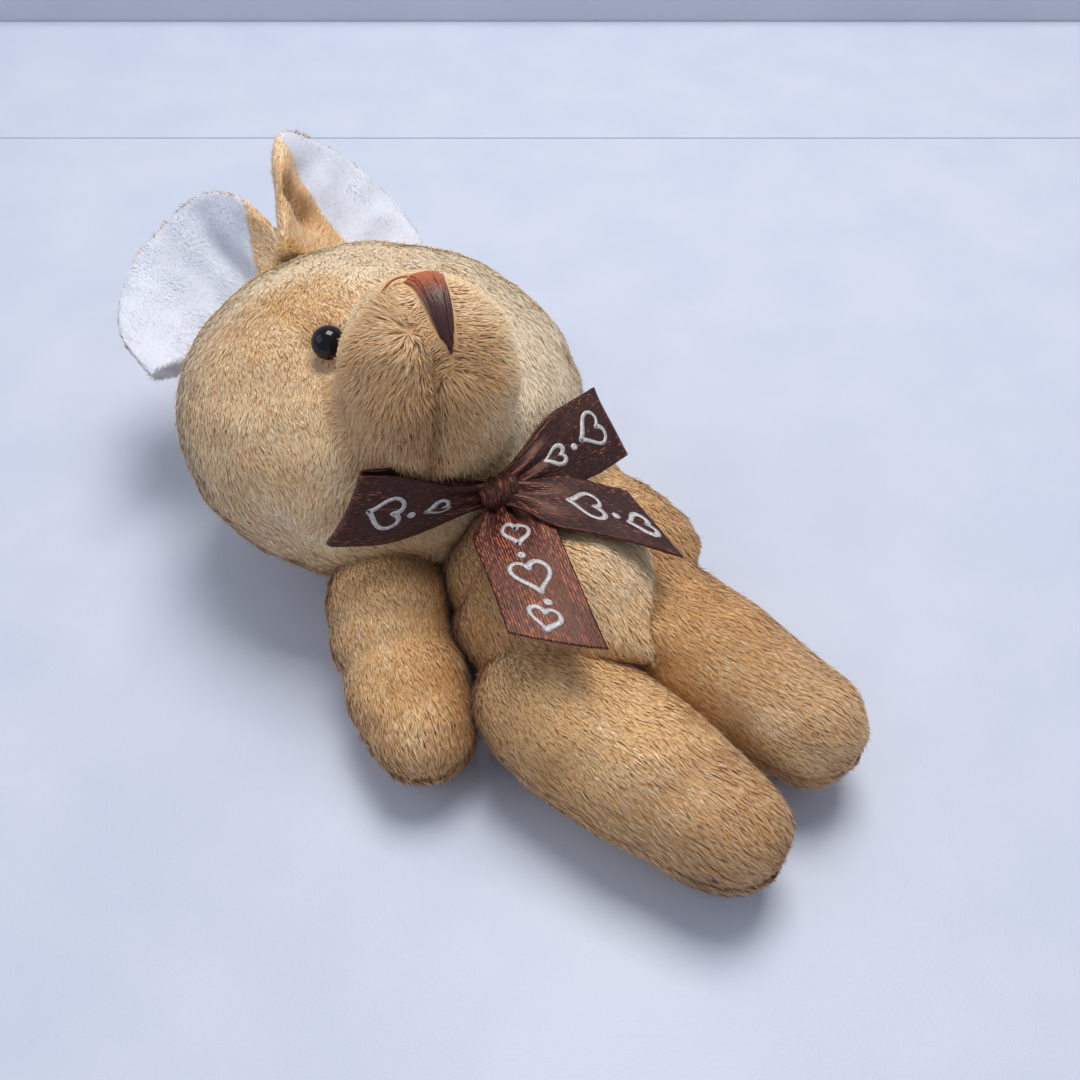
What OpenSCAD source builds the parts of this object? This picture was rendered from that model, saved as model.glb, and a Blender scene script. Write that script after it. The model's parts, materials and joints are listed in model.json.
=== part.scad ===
// Small plush bear keychain: stuffed head, torso and limbs, ribbon bow, two ears, sewn tape and key ring.
// Millimetres. The bear lies on its back: +Z is up out of the face, +Y runs to the crown.

/* [Head] */
// width across the cheeks, under the pile
head_w = 57.4; // [48:0.2:68]
// chin to crown, under the pile
head_l = 54.2; // [46:0.2:66]
// back of head to face, under the pile
head_t = 41.2; // [34:0.2:50]
// how far the head leans to the bear's left
head_lean = 20; // [0:1:30]
// width of the muzzle
muzzle_w = 21.4; // [16:0.2:28]
// height of the muzzle, chin to nose
muzzle_l = 23.2; // [18:0.2:30]
// diameter of an eye bead
eye_d = 4.4; // [3:0.1:7]
// eye offset from the middle of the face
eye_x = 9.6; // [7:0.1:15]

/* [Ears] */
// width of an ear across its base
ear_w = 27; // [20:0.5:34]
// height of an ear
ear_h = 20.5; // [14:0.5:28]
// radius that the ear is cupped to
ear_cup = 17.5; // [15.6:0.1:26]

/* [Torso and limbs] */
// belly diameter, under the pile
belly_d = 26.4; // [20:0.2:34]
// neck diameter, under the pile
neck_d = 20.6; // [14:0.2:24]
// thickest part of an arm
arm_d = 15.6; // [10:0.2:20]
// arm length, shoulder centre to tip
arm_l = 19.6; // [16:0.2:30]
// thickest part of a leg
leg_d = 19.4; // [14:0.2:24]
// leg length, hip centre to toe
leg_l = 28.6; // [20:0.5:40]
// thickness of the plush cloth backing with its pressed pile
skin = 1.1; // [0.6:0.1:2]

/* [Ribbon] */
// ribbon width
ribbon_w = 10; // [6:0.5:14]
// ribbon thickness
ribbon_t = 0.5; // [0.3:0.1:1]
// length of a bow loop from the knot
loop_l = 19; // [12:0.5:26]
// length of the front tail on its long edge
tail_l = 25.7; // [16:0.1:34]

/* [Key ring] */
// outer diameter of the split ring
ring_d = 22; // [16:0.5:30]
// width of the ring's flat wire
ring_wire = 1.8; // [1.2:0.1:2.6]
// jump ring wire diameter
link_wire = 1.1; // [0.8:0.1:1.6]

/* [Hidden] */
gap = 0.12;
hx = head_w / 2;
hy = head_l / 2;
hz = head_t / 2;
head_at = [1.2, 35, 20.7];
eye_y = -7;
eye_z = hz * sqrt(1 - pow(eye_x / hx, 2) - pow(eye_y / hy, 2));
muzzle_at = [0.2, -15.8, 18.6];
mx = muzzle_w / 2;
my = muzzle_l / 2;
mz = 13.7;
torso_x = -0.8;
knot_at = [-2.5, 5.2, 28];
arm_r = arm_d / 2;
shoulder = [0, 4, 3];
arm_lift = 22;
leg_r = leg_d / 2;
leg_at = [-0.6, -16.2, 9.6];
leg_yaw = 9;
hip_x = 9;
chain_at = [8.2, 53.1, 0];
chain_yaw = -22;
tape_z = 7.6;
tape_tilt = 36;
tape_l = 8;
jump_y = tape_l * cos(tape_tilt) + 4;
jump_z = tape_z - tape_l * sin(tape_tilt);
link_r = 3.2;
link_y = jump_y + 4 + 1.53;
ring_r = ring_d / 2;
ring_tilt = 7;

plush = [0.86, 0.70, 0.47];
plush_dark = [0.80, 0.63, 0.41];
fill = [0.95, 0.95, 0.93];
white = [0.90, 0.91, 0.94];
brown = [0.24, 0.14, 0.12];
steel = [0.78, 0.79, 0.80];

module above_floor() {
  intersection() {
    children();
    translate([-150, -150, 0]) cube([300, 300, 150]);
  }
}

module upper(z0) {
  intersection() {
    children();
    translate([-150, -150, z0 + gap / 2]) cube([300, 300, 150]);
  }
}

module lower(z0) {
  intersection() {
    children();
    translate([-150, -150, -20]) cube([300, 300, 20 + z0 - gap / 2]);
  }
}

// head
module head_place() {
  translate(head_at) rotate([0, 0, -head_lean]) rotate([4, 0, 0]) rotate([0, 6, 0]) children();
}

module ball(r, n) {
  hull() scale(r) sphere(r = 1, $fn = n);
}

module head_form(g) {
  above_floor() head_place() ball([hx + g, hy + g, hz + g], 40);
}

module head_inner(g) {
  intersection() {
    head_place() ball([hx - g, hy - g, hz - g], 32);
    translate([-100, -100, g]) cube([200, 200, 100]);
  }
}

module head_skin() {
  difference() {
    head_form(0);
    head_inner(skin);
    head_place() eye_hole(1);
    head_place() eye_hole(-1);
  }
}

module eye_place(s) {
  translate([s * eye_x, eye_y, eye_z]) rotate([0, 0, s > 0 ? -38 : -142]) rotate([0, 20, 0]) children();
}

module eye_hole(s) {
  eye_place(s) translate([0, 0, -4]) cylinder(r = 0.9, h = 8, $fn = 24);
}

module head_front() {
  color(plush) upper(20) head_skin();
}

module head_back() {
  color(plush_dark) lower(20) head_skin();
}

module head_filling() {
  color(fill)
  difference() {
    head_inner(skin + gap);
    head_place() eye_place(1) translate([0, 0, -6]) cylinder(r = 3, h = 12, $fn = 32);
    head_place() eye_place(-1) translate([0, 0, -6]) cylinder(r = 3, h = 12, $fn = 32);
  }
}

// muzzle
module muzzle_place() {
  head_place() translate(muzzle_at) rotate([-6, 0, 0]) children();
}

module muzzle_form(g, n) {
  muzzle_place() ball([mx + g, my + g, mz + g], n);
}

module muzzle_skin() {
  difference() {
    muzzle_form(0, 32);
    muzzle_form(-skin, 24);
    head_form(gap);
    eye_clear();
  }
}

module eye_clear() {
  head_place() eye_place(1) translate([0, 0, -1]) cylinder(r = 2.5, h = 4, $fn = 32);
  head_place() eye_place(-1) translate([0, 0, -1]) cylinder(r = 2.5, h = 4, $fn = 32);
}

module muzzle_half(s) {
  intersection() {
    muzzle_skin();
    muzzle_place() translate([s > 0 ? gap / 2 : -40 - gap / 2, -40, -40]) cube([40, 80, 80]);
  }
}

module muzzle_left() {
  color(plush) muzzle_half(1);
}

module muzzle_right() {
  color(plush) muzzle_half(-1);
}

module muzzle_filling() {
  color(fill)
  difference() {
    muzzle_form(-skin - gap, 24);
    head_form(gap);
    eye_clear();
  }
}

module nose_stitching() {
  color(brown)
  intersection() {
    difference() {
      muzzle_form(0.9, 36);
      muzzle_form(gap, 36);
    }
    muzzle_place() linear_extrude(30) polygon([[-2.2, 1.6], [2.2, 1.6], [1.5, -0.4], [0.9, -5], [0.35, -8.6], [-0.35, -8.6], [-0.9, -5], [-1.5, -0.4]]);
  }
}

module eye(s) {
  color([0.03, 0.03, 0.04])
  head_place() eye_place(s) {
    translate([0, 0, 0.75]) intersection() {
      sphere(d = eye_d, $fn = 40);
      translate([-5, -5, -0.6]) cube([10, 10, 10]);
    }
    translate([0, 0, -3.6]) cylinder(r = 0.7, h = 4, $fn = 24);
  }
}

module eye_left() {
  eye(1);
}

module eye_right() {
  eye(-1);
}

module eye_washers() {
  color([0.85, 0.85, 0.82])
  for (s = [-1, 1])
    head_place() eye_place(s) translate([0, 0, -2.6]) difference() {
      cylinder(r = 2.6, h = 0.8, $fn = 32);
      translate([0, 0, -1]) cylinder(r = 0.8, h = 3, $fn = 24);
    }
}

// ears, cupped about their long direction
module ear_place(s) {
  if (s > 0) {
    translate([9.9, 59.6, 28.9]) rotate([35, 38, -10]) children();
  } else {
    translate([-7.2, 62.5, 26]) rotate([12, -28, -6]) children();
  }
}

// squarer on the side towards the other ear
function fuller(v, p) = sign(v) * pow(abs(v), p);

module ear_outline(s, w, h) {
  polygon(concat([[-w, -4], [w, -4]], [for (i = [0 : 24]) let (p = s * cos(i * 7.5) < 0 ? 0.72 : 1)
    [w * fuller(cos(i * 7.5), p), h * fuller(sin(i * 7.5), p)]]));
}

module ear_layer(s, r0, r1, inset) {
  difference() {
    intersection() {
      ear_place(s) translate([0, -8, ear_cup]) rotate([-90, 0, 0]) difference() {
        cylinder(r = r1, h = 40, $fn = 64);
        translate([0, 0, -1]) cylinder(r = r0, h = 42, $fn = 64);
      }
      ear_place(s) translate([0, 0, -4]) linear_extrude(ear_cup + 3) ear_outline(s, ear_w / 2 - inset, ear_h - inset);
      translate([s > 0 ? 2.8 : 1.4 - 60, 0, 0]) cube([60, 120, 80]);
    }
    head_place() ball([hx + 1, hy + 1, hz + 1], 40);
  }
}

module ear_left_back() {
  color(plush) ear_layer(1, ear_cup + gap, ear_cup + 1.7, 0);
}

module ear_left_lining() {
  color(white) ear_layer(1, ear_cup - 1.3, ear_cup, 0.6);
}

module ear_right_back() {
  color(plush) ear_layer(-1, ear_cup + gap, ear_cup + 1.7, 0);
}

module ear_right_lining() {
  color(white) ear_layer(-1, ear_cup - 1.3, ear_cup, 0.6);
}

// torso
module torso_form(g) {
  hull() {
    translate([0.3, 3.4, 14.3]) sphere(r = neck_d / 2 - g, $fn = 32);
    translate([-4.4, -2, 12.8]) sphere(r = 8.8 - g, $fn = 32);
    translate([2.6, -2, 12.8]) sphere(r = 8.8 - g, $fn = 32);
    translate([torso_x, -1.5, 10.9]) sphere(r = 11.8 - g, $fn = 32);
    translate([torso_x, -7, 12.8]) sphere(r = belly_d / 2 - g, $fn = 32);
    translate([torso_x, -13, 12.4]) sphere(r = 11.2 - g, $fn = 32);
  }
}

module torso_room(g) {
  difference() {
    intersection() {
      torso_form(g);
      translate([-100, -100, g]) cube([200, 200, 100]);
    }
    head_place() ball([hx + 0.9 + g, hy + 0.9 + g, hz + 0.9 + g], 40);
    leg_sweep(-1, 0.5 + g);
    leg_sweep(1, 0.5 + g);
    neck_groove(g);
  }
}

// the room that a leg needs as it lifts
module leg_sweep(s, g) {
  translate(leg_at) rotate([0, 0, leg_yaw]) translate([s * hip_x, 0, 0]) hull() {
    sphere(r = leg_r + g, $fn = 26);
    translate([0, -12, 0]) sphere(r = leg_r + g, $fn = 26);
    rotate([-35, 0, 0]) translate([0, -12, 0]) sphere(r = leg_r + g, $fn = 26);
  }
}

// the ribbon is tied round the neck and draws it in
module neck_groove(g) {
  translate([0.3, 1.6 - g, 14.3]) rotate([-90, 0, 0]) difference() {
    cylinder(r = 24, h = 4 + 2 * g, $fn = 64);
    translate([0, 0, -1]) cylinder(r = neck_d / 2 + 0.05 - g, h = 8, $fn = 64);
  }
}

module torso_skin() {
  difference() {
    torso_room(0);
    torso_room(skin);
  }
}

module torso_front() {
  color(plush) upper(12.6) torso_skin();
}

module torso_back() {
  color(plush_dark) lower(12.6) torso_skin();
}

module torso_filling() {
  color(fill) torso_room(skin + gap);
}

// arms: yaw is measured about +Z from straight down the body
function arm_at(s) = s > 0 ? [16.8, 11, 7.7] : [-18.9, 7.9, 7.7];
function arm_yaw(s) = s > 0 ? 11.5 : -20.5;

module arm_place(s) {
  translate(arm_at(s)) rotate([0, 0, arm_yaw(s)]) children();
}

// the head as an arm meets it once it has lifted by a
module head_met(s, a, g) {
  arm_place(s) translate(shoulder) rotate([a, 0, 0]) translate(-shoulder) rotate([0, 0, -arm_yaw(s)]) translate(-arm_at(s))
    head_place() ball([hx + 1.2 + g, hy + 1.2 + g, hz + 1.2 + g], 28);
}

module neck_met(s, a, g) {
  arm_place(s) translate(shoulder) rotate([a, 0, 0]) translate(-shoulder) rotate([0, 0, -arm_yaw(s)]) translate(-arm_at(s))
    translate([0.3, 1.5 - g, 14.3]) rotate([-90, 0, 0]) cylinder(r = neck_d / 2 + 0.6 + ribbon_t + g, h = 4.2 + 2 * g, $fn = 48);
}

module arm_form(s, g) {
  difference() {
    intersection() {
      arm_place(s) hull() {
        translate([0, 3.6, 0.4]) sphere(r = arm_r - 0.9 - g, $fn = 24);
        translate([0, -6.5, 0]) sphere(r = arm_r - g, $fn = 24);
        translate([0, 6.7 - arm_l, -0.2]) sphere(r = 6.7 - g, $fn = 24);
      }
      translate([-100, -100, g]) cube([200, 200, 100]);
    }
    for (a = [0, arm_lift / 2, arm_lift]) {
      head_met(s, a, g);
      neck_met(s, a, g);
    }
  }
}

module arm_skin(s) {
  difference() {
    arm_form(s, 0);
    arm_form(s, skin);
  }
}

module arm_left_front() {
  color(plush) upper(7.5) arm_skin(1);
}

module arm_left_back() {
  color(plush_dark) lower(7.5) arm_skin(1);
}

module arm_left_filling() {
  color(fill) arm_form(1, skin + gap);
}

module arm_right_front() {
  color(plush) upper(7.5) arm_skin(-1);
}

module arm_right_back() {
  color(plush_dark) lower(7.5) arm_skin(-1);
}

module arm_right_filling() {
  color(fill) arm_form(-1, skin + gap);
}

// legs: flat where they press on each other
module leg_form(s, g) {
  intersection() {
    translate(leg_at) rotate([0, 0, leg_yaw]) hull() {
      translate([s * hip_x, 0, 0]) sphere(r = leg_r - g, $fn = 26);
      translate([s * hip_x, -9, 0]) sphere(r = leg_r - 0.3 - g, $fn = 26);
      translate([s * hip_x, 7.2 - leg_l, -0.4]) sphere(r = 7.2 - g, $fn = 26);
    }
    translate(leg_at) rotate([0, 0, leg_yaw]) translate([s > 0 ? 0.2 + g : -40.2 - g, -60, -40]) cube([40, 80, 80]);
    translate([-100, -100, g]) cube([200, 200, 100]);
  }
}

module leg_skin(s) {
  difference() {
    leg_form(s, 0);
    leg_form(s, skin);
  }
}

module leg_left_front() {
  color(plush) upper(9) leg_skin(1);
}

module leg_left_back() {
  color(plush_dark) lower(9) leg_skin(1);
}

module leg_left_filling() {
  color(fill) leg_form(1, skin + gap);
}

module leg_right_front() {
  color(plush) upper(9) leg_skin(-1);
}

module leg_right_back() {
  color(plush_dark) lower(9) leg_skin(-1);
}

module leg_right_filling() {
  color(fill) leg_form(-1, skin + gap);
}

// ribbon
module neck_ribbon() {
  color(brown)
  translate([0.3, 1.9, 14.3]) rotate([-90, 0, 0]) difference() {
    cylinder(r = neck_d / 2 + 0.2 + ribbon_t, h = 3.4, $fn = 72);
    translate([0, 0, -1]) cylinder(r = neck_d / 2 + 0.2, h = 6, $fn = 72);
  }
}

module bow_knot() {
  color(brown) translate(knot_at) rotate([0, 0, -15]) ball([2.7, 2.1, 2.1], 20);
}

module ribbon_loop(len) {
  intersection() {
    rotate([90, 0, 0]) translate([0, 0, -10]) linear_extrude(20) difference() {
      hull() {
        translate([3.6, 0]) circle(r = 0.65, $fn = 24);
        translate([len - 1.2, 0]) circle(r = 1.2, $fn = 24);
      }
      hull() {
        translate([3.8, 0]) circle(r = 0.65 - ribbon_t, $fn = 24);
        translate([len - 1.2, 0]) circle(r = 1.2 - ribbon_t, $fn = 24);
      }
    }
    translate([0, 0, -5]) linear_extrude(10) loop_shape(len);
  }
}

module loop_shape(len) {
  polygon([[2.9, -1.7], [9, -3.1], [13, -4.4], [len + 1, -ribbon_w / 2], [len + 1, ribbon_w / 2], [13, 4.4], [9, 3.1], [2.9, 1.7]]);
}

module bow_loop_right() {
  color(brown) translate(knot_at) rotate([0, 0, 152]) rotate([0, -5, 0]) rotate([-78, 0, 0]) ribbon_loop(loop_l);
}

module bow_loop_left() {
  color(brown) translate(knot_at) rotate([0, 0, 5]) rotate([0, 3, 0]) rotate([41, 0, 0]) ribbon_loop(loop_l + 2);
}

module bow_tail_front() {
  color(brown)
  translate(knot_at + [0, 0, -0.8]) rotate([0, 0, -113]) rotate([0, 3, 0])
    linear_extrude(ribbon_t) polygon([[2.9, -1.2], [6, -3], [10, -ribbon_w / 2], [tail_l - 5.4, -ribbon_w / 2], [tail_l, ribbon_w / 2], [10, ribbon_w / 2], [6, 3], [2.9, 1.2]]);
}

module bow_tail_side() {
  color(brown)
  translate(knot_at + [0, 0, 0.2]) rotate([0, 0, -50]) rotate([0, 8, 0]) rotate([-5, 0, 0])
    linear_extrude(ribbon_t) polygon([[2.9, -1.2], [6, -3], [10, -ribbon_w / 2], [tail_l - 2, -ribbon_w / 2], [tail_l - 9.7, ribbon_w / 2], [10, ribbon_w / 2], [6, 3], [2.9, 1.2]]);
}

// sewn tape, ring, link and split ring, lying behind the crown
module chain_place() {
  translate(chain_at) rotate([0, 0, chain_yaw]) children();
}

module hanging_tape() {
  color(brown)
  chain_place() translate([0, 0, tape_z]) rotate([-tape_tilt, 0, 0]) rotate([90, 0, 90]) translate([0, 0, -1.5]) linear_extrude(3) difference() {
    hull() {
      translate([2.4, 0]) circle(r = 1.4, $fn = 32);
      translate([tape_l, 0]) circle(r = 2, $fn = 32);
    }
    hull() {
      translate([2.4, 0]) circle(r = 0.8, $fn = 32);
      translate([tape_l, 0]) circle(r = 1.4, $fn = 32);
    }
  }
}

module jump_ring() {
  color(steel)
  chain_place() translate([0, jump_y, jump_z]) rotate_extrude($fn = 64) translate([4, 0]) circle(d = link_wire, $fn = 24);
}

module chain_link() {
  color(steel)
  chain_place() translate([0, link_y, link_r + 0.65]) rotate([0, 90, 0]) rotate_extrude($fn = 48) translate([link_r, 0]) circle(d = link_wire, $fn = 24);
}

module split_ring() {
  color(steel)
  chain_place() translate([0, link_y + 1.09, 3.55]) rotate([-ring_tilt, 0, 0]) translate([0, ring_r - ring_wire / 2, -0.95]) difference() {
    cylinder(r = ring_r, h = 1.9, $fn = 96);
    translate([0, 0, -1]) cylinder(r = ring_r - ring_wire, h = 4, $fn = 96);
    translate([0, 0, 0.87]) difference() {
      cylinder(r = ring_r + 1, h = 0.16, $fn = 96);
      translate([-2.5, 0, -1]) cube([5, 30, 3]);
    }
  }
}

head_front();
head_back();
head_filling();
muzzle_left();
muzzle_right();
muzzle_filling();
nose_stitching();
eye_left();
eye_right();
eye_washers();
ear_left_back();
ear_left_lining();
ear_right_back();
ear_right_lining();
torso_front();
torso_back();
torso_filling();
arm_left_front();
arm_left_back();
arm_left_filling();
arm_right_front();
arm_right_back();
arm_right_filling();
leg_left_front();
leg_left_back();
leg_left_filling();
leg_right_front();
leg_right_back();
leg_right_filling();
neck_ribbon();
bow_knot();
bow_loop_left();
bow_loop_right();
bow_tail_front();
bow_tail_side();
hanging_tape();
jump_ring();
chain_link();
split_ring();
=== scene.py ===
import bpy, json, math
import numpy as np
from mathutils import Vector, Matrix, kdtree


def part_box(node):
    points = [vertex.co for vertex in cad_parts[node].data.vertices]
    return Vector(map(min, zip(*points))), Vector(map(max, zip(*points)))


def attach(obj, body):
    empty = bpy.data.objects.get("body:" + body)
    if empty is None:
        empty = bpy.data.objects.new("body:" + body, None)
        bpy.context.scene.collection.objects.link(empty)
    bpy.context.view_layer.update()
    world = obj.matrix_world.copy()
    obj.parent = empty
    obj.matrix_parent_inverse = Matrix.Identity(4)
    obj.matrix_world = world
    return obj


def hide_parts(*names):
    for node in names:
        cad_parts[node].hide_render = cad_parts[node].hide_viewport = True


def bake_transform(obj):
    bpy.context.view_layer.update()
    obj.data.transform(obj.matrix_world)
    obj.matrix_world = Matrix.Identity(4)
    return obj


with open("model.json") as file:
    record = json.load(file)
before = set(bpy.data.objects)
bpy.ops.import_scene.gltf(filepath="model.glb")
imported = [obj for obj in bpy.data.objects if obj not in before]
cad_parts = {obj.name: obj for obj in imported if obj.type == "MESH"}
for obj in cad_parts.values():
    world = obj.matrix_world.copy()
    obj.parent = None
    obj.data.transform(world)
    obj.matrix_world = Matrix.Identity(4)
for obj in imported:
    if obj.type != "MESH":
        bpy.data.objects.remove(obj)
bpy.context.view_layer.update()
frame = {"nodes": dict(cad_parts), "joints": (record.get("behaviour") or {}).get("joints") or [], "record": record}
MM = 0.001
J = {j["name"]: j for j in frame["joints"]}


# ---------------------------------------------------------------- small helpers
def jpos(name):
    return np.array(J[name].get("pos_m") or J[name]["pos"], float)


def jaxis(name):
    a = np.array(J[name]["axis"], float)
    return a / np.linalg.norm(a)


def unit(v):
    v = np.asarray(v, float)
    n = np.linalg.norm(v, axis=-1, keepdims=True)
    return v / np.maximum(n, 1e-12)


def lin(r, g, b):
    out = []
    for c in (r, g, b):
        c = c / 255.0
        out.append(c / 12.92 if c <= 0.04045 else ((c + 0.055) / 1.055) ** 2.4)
    return tuple(out) + (1.0,)


def waves(p, scale, seed, n=7):
    """Smooth pseudo-noise in about -1..1 for points p (N, 3), feature size scale."""
    r = np.random.default_rng(seed)
    out = np.zeros(len(p))
    for _ in range(n):
        d = unit(r.normal(size=3)) * (2 * math.pi / (scale * r.uniform(0.7, 1.7)))
        out += np.sin(p @ d + r.uniform(0, 6.28))
    return out / math.sqrt(n)


def smooth01(x, a, b):
    t = np.clip((x - a) / (b - a), 0, 1)
    return t * t * (3 - 2 * t)


def mesh_object(name, verts, faces, mats, slots=None, shade=None):
    """A mesh from arrays: faces is a list of (N, k) index arrays; slots is a matching list of material indices."""
    me = bpy.data.meshes.new(name)
    verts = np.asarray(verts, np.float32)
    loops = np.concatenate([f.reshape(-1) for f in faces]).astype(np.int32)
    sizes = np.concatenate([np.full(len(f), f.shape[1], np.int32) for f in faces])
    starts = np.concatenate([[0], np.cumsum(sizes)[:-1]]).astype(np.int32)
    me.vertices.add(len(verts))
    me.vertices.foreach_set("co", verts.reshape(-1))
    me.loops.add(len(loops))
    me.loops.foreach_set("vertex_index", loops)
    me.polygons.add(len(sizes))
    me.polygons.foreach_set("loop_start", starts)
    if slots is not None:
        me.polygons.foreach_set("material_index", np.concatenate(slots).astype(np.int32))
    for m in mats:
        me.materials.append(m)
    me.update(calc_edges=True)
    me.validate()
    me.polygons.foreach_set("use_smooth", np.ones(len(me.polygons), bool))
    if shade is not None:
        me.normals_split_custom_set_from_vertices(np.asarray(shade, np.float32))
    ob = bpy.data.objects.new(name, me)
    bpy.context.scene.collection.objects.link(ob)
    return ob


def grid_faces(idx):
    """Four-sided faces between the rows and columns of a grid of point numbers."""
    return np.stack([idx[:-1, :-1], idx[1:, :-1], idx[1:, 1:], idx[:-1, 1:]], -1).reshape(-1, 4)


def read(items, key, width=3, kind=np.float32):
    out = np.empty(len(items) * width, kind)
    items.foreach_get(key, out)
    return out.reshape(-1, width)


def coords(ob):
    return read(ob.data.vertices, "co").astype(float)


def triangles(me):
    me.calc_loop_triangles()
    return read(me.loop_triangles, "vertices", 3, np.int32)


def set_coords(ob, co):
    ob.data.vertices.foreach_set("co", np.asarray(co, np.float32).reshape(-1))
    ob.data.update()


def normals(ob):
    return read(ob.data.vertices, "normal").astype(float)


def attribute(ob, name, values):
    """Keep a number or a vector with each point, for the materials to read."""
    kind, key = ("FLOAT", "value") if values.ndim == 1 else ("FLOAT_VECTOR", "vector")
    ob.data.attributes.new(name, kind, "POINT").data.foreach_set(key, values.astype(np.float32).reshape(-1))


def piece(ob, body, slot, *nodes, fill=None):
    """Give a finished piece its body and hide the CAD nodes that it stands for; slot and fill are not used."""
    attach(ob, body)
    if nodes:
        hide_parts(*nodes)
    return ob


def dress(node, mat, smooth=True):
    """Give a carried-over CAD node its material."""
    me = frame["nodes"][node].data
    me.materials.clear()
    me.materials.append(mat)
    if smooth:
        me.polygons.foreach_set("use_smooth", np.ones(len(me.polygons), bool))


def activate(ob):
    bpy.ops.object.select_all(action="DESELECT")
    ob.select_set(True)
    bpy.context.view_layer.objects.active = ob


def add_modifier(ob, kind, **kw):
    m = ob.modifiers.new(kind, kind)
    for k, v in kw.items():
        setattr(m, k, v)
    return m


def bake_modifiers(ob):
    dg = bpy.context.evaluated_depsgraph_get()
    me = bpy.data.meshes.new_from_object(ob.evaluated_get(dg))
    ob.modifiers.clear()
    old = ob.data
    ob.data = me
    bpy.data.meshes.remove(old)


# ---------------------------------------------------------------- materials
def principled(name, color, rough=0.6, **kw):
    m = bpy.data.materials.new(name)
    m.use_nodes = True
    b = m.node_tree.nodes["Principled BSDF"]
    b.inputs["Base Color"].default_value = color
    b.inputs["Roughness"].default_value = rough
    for k, v in kw.items():
        b.inputs[k].default_value = v
    return m


class Shader:
    """The nodes of one material. A value given to a socket is either set or, when it's another node's output, linked."""

    def __init__(self, m):
        self.tree = m.node_tree
        self.inputs = self.tree.nodes["Principled BSDF"].inputs

    def put(self, socket, value):
        if isinstance(value, bpy.types.NodeSocket):
            self.tree.links.new(value, socket)
        else:
            socket.default_value = value

    def node(self, kind, out, inputs, **own):
        """A new node's output out; own are the node's settings."""
        n = self.tree.nodes.new("ShaderNode" + kind)
        for k, v in own.items():
            setattr(n, k, v)
        for k, v in inputs.items():
            self.put(n.inputs[k], v)
        return n.outputs[out]

    def noise(self, where, scale, detail=2.0):
        return self.node("TexNoise", "Fac", {"Scale": scale, "Detail": detail, "Vector": where})

    def math(self, operation, *values):
        return self.node("Math", 0, dict(enumerate(values)), operation=operation)

    def mix(self, factor, a, b):
        return self.node("Mix", "Result", {"Factor": factor, "A": a, "B": b}, data_type="RGBA")

    def bump(self, height, strength, distance):
        return self.node("Bump", "Normal", {"Strength": strength, "Distance": distance, "Height": height})

    def ramp(self, x, stops):
        n = self.tree.nodes.new("ShaderNodeValToRGB")
        el = n.color_ramp.elements
        while len(el) < len(stops):
            el.new(0.5)
        for e, (place, color) in zip(el, stops):
            e.position, e.color = place, color
        self.put(n.inputs["Fac"], x)
        return n.outputs["Color"]


def noise_color(m, scale, stops, bump=0.0, bump_scale=None):
    """Base colour from a noise ramp, and an optional fine bump."""
    sh = Shader(m)
    where = sh.node("TexCoord", "Object", {})
    sh.put(sh.inputs["Base Color"], sh.ramp(sh.noise(where, scale, 4.0), stops))
    if bump:
        sh.put(sh.inputs["Normal"], sh.bump(sh.noise(where, bump_scale or scale * 6, 3.0), bump, 0.0002))
    return m


LINING = noise_color(
    principled("lining_cloth", lin(222, 225, 235), 0.9, **{"Sheen Weight": 0.3}),
    700, [(0.3, lin(216, 219, 231)), (0.7, lin(228, 231, 240))], bump=0.5, bump_scale=4000)


def fibre(name, r, g, b, rough=0.62, sheen=0.25):
    return principled(name, lin(r, g, b), rough, **{"Sheen Weight": sheen, "Sheen Roughness": 0.4, "Specular IOR Level": 0.3})


FUR = [fibre("pile_" + name, *tone) for name, tone in (
    ("root_dark", (156, 114, 76)), ("root", (204, 164, 120)), ("root_gold", (204, 154, 98)),
    ("tip_brown", (186, 144, 102)), ("tip_gold", (212, 160, 102)), ("tip_gold_light", (232, 188, 132)),
    ("tip", (218, 180, 136)), ("tip_light", (238, 210, 168)), ("tip_cream", (252, 235, 206)))]
ROOT_DARK, ROOT, ROOT_GOLD, BROWN, GOLD, GOLD_LIGHT, BEIGE, LIGHT, CREAM = range(len(FUR))
WHITE_FUR = [fibre("lining_root", 218, 221, 232), fibre("lining_tip", 229, 231, 240),
             fibre("lining_tip_cool", 223, 227, 238)]


def ground():
    """The pile's tone between its tips, from the lightness and gold share kept with each point; the lightness holds
    painted light and shade in places.
    """
    m = principled("plush_ground", lin(222, 184, 134), 0.85, **{"Sheen Weight": 0.25, "Sheen Roughness": 0.4})
    sh = Shader(m)
    tone = sh.node("Attribute", "Vector", {}, attribute_name="tone")
    grain = sh.noise(sh.node("TexCoord", "Object", {}), 2200, 3.0)
    k = sh.math("MULTIPLY_ADD", grain, 0.25, sh.node("SeparateXYZ", "X", {"Vector": tone}))
    plain = sh.ramp(k, [(0.3, lin(172, 130, 90)), (0.7, lin(214, 176, 132)), (1.0, lin(250, 231, 198))])
    gold = sh.ramp(k, [(0.3, lin(180, 128, 76)), (0.7, lin(212, 160, 104)), (1.0, lin(238, 198, 144))])
    sh.put(sh.inputs["Base Color"], sh.mix(sh.node("SeparateXYZ", "Y", {"Vector": tone}), plain, gold))
    return m


GROUND = ground()


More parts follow.
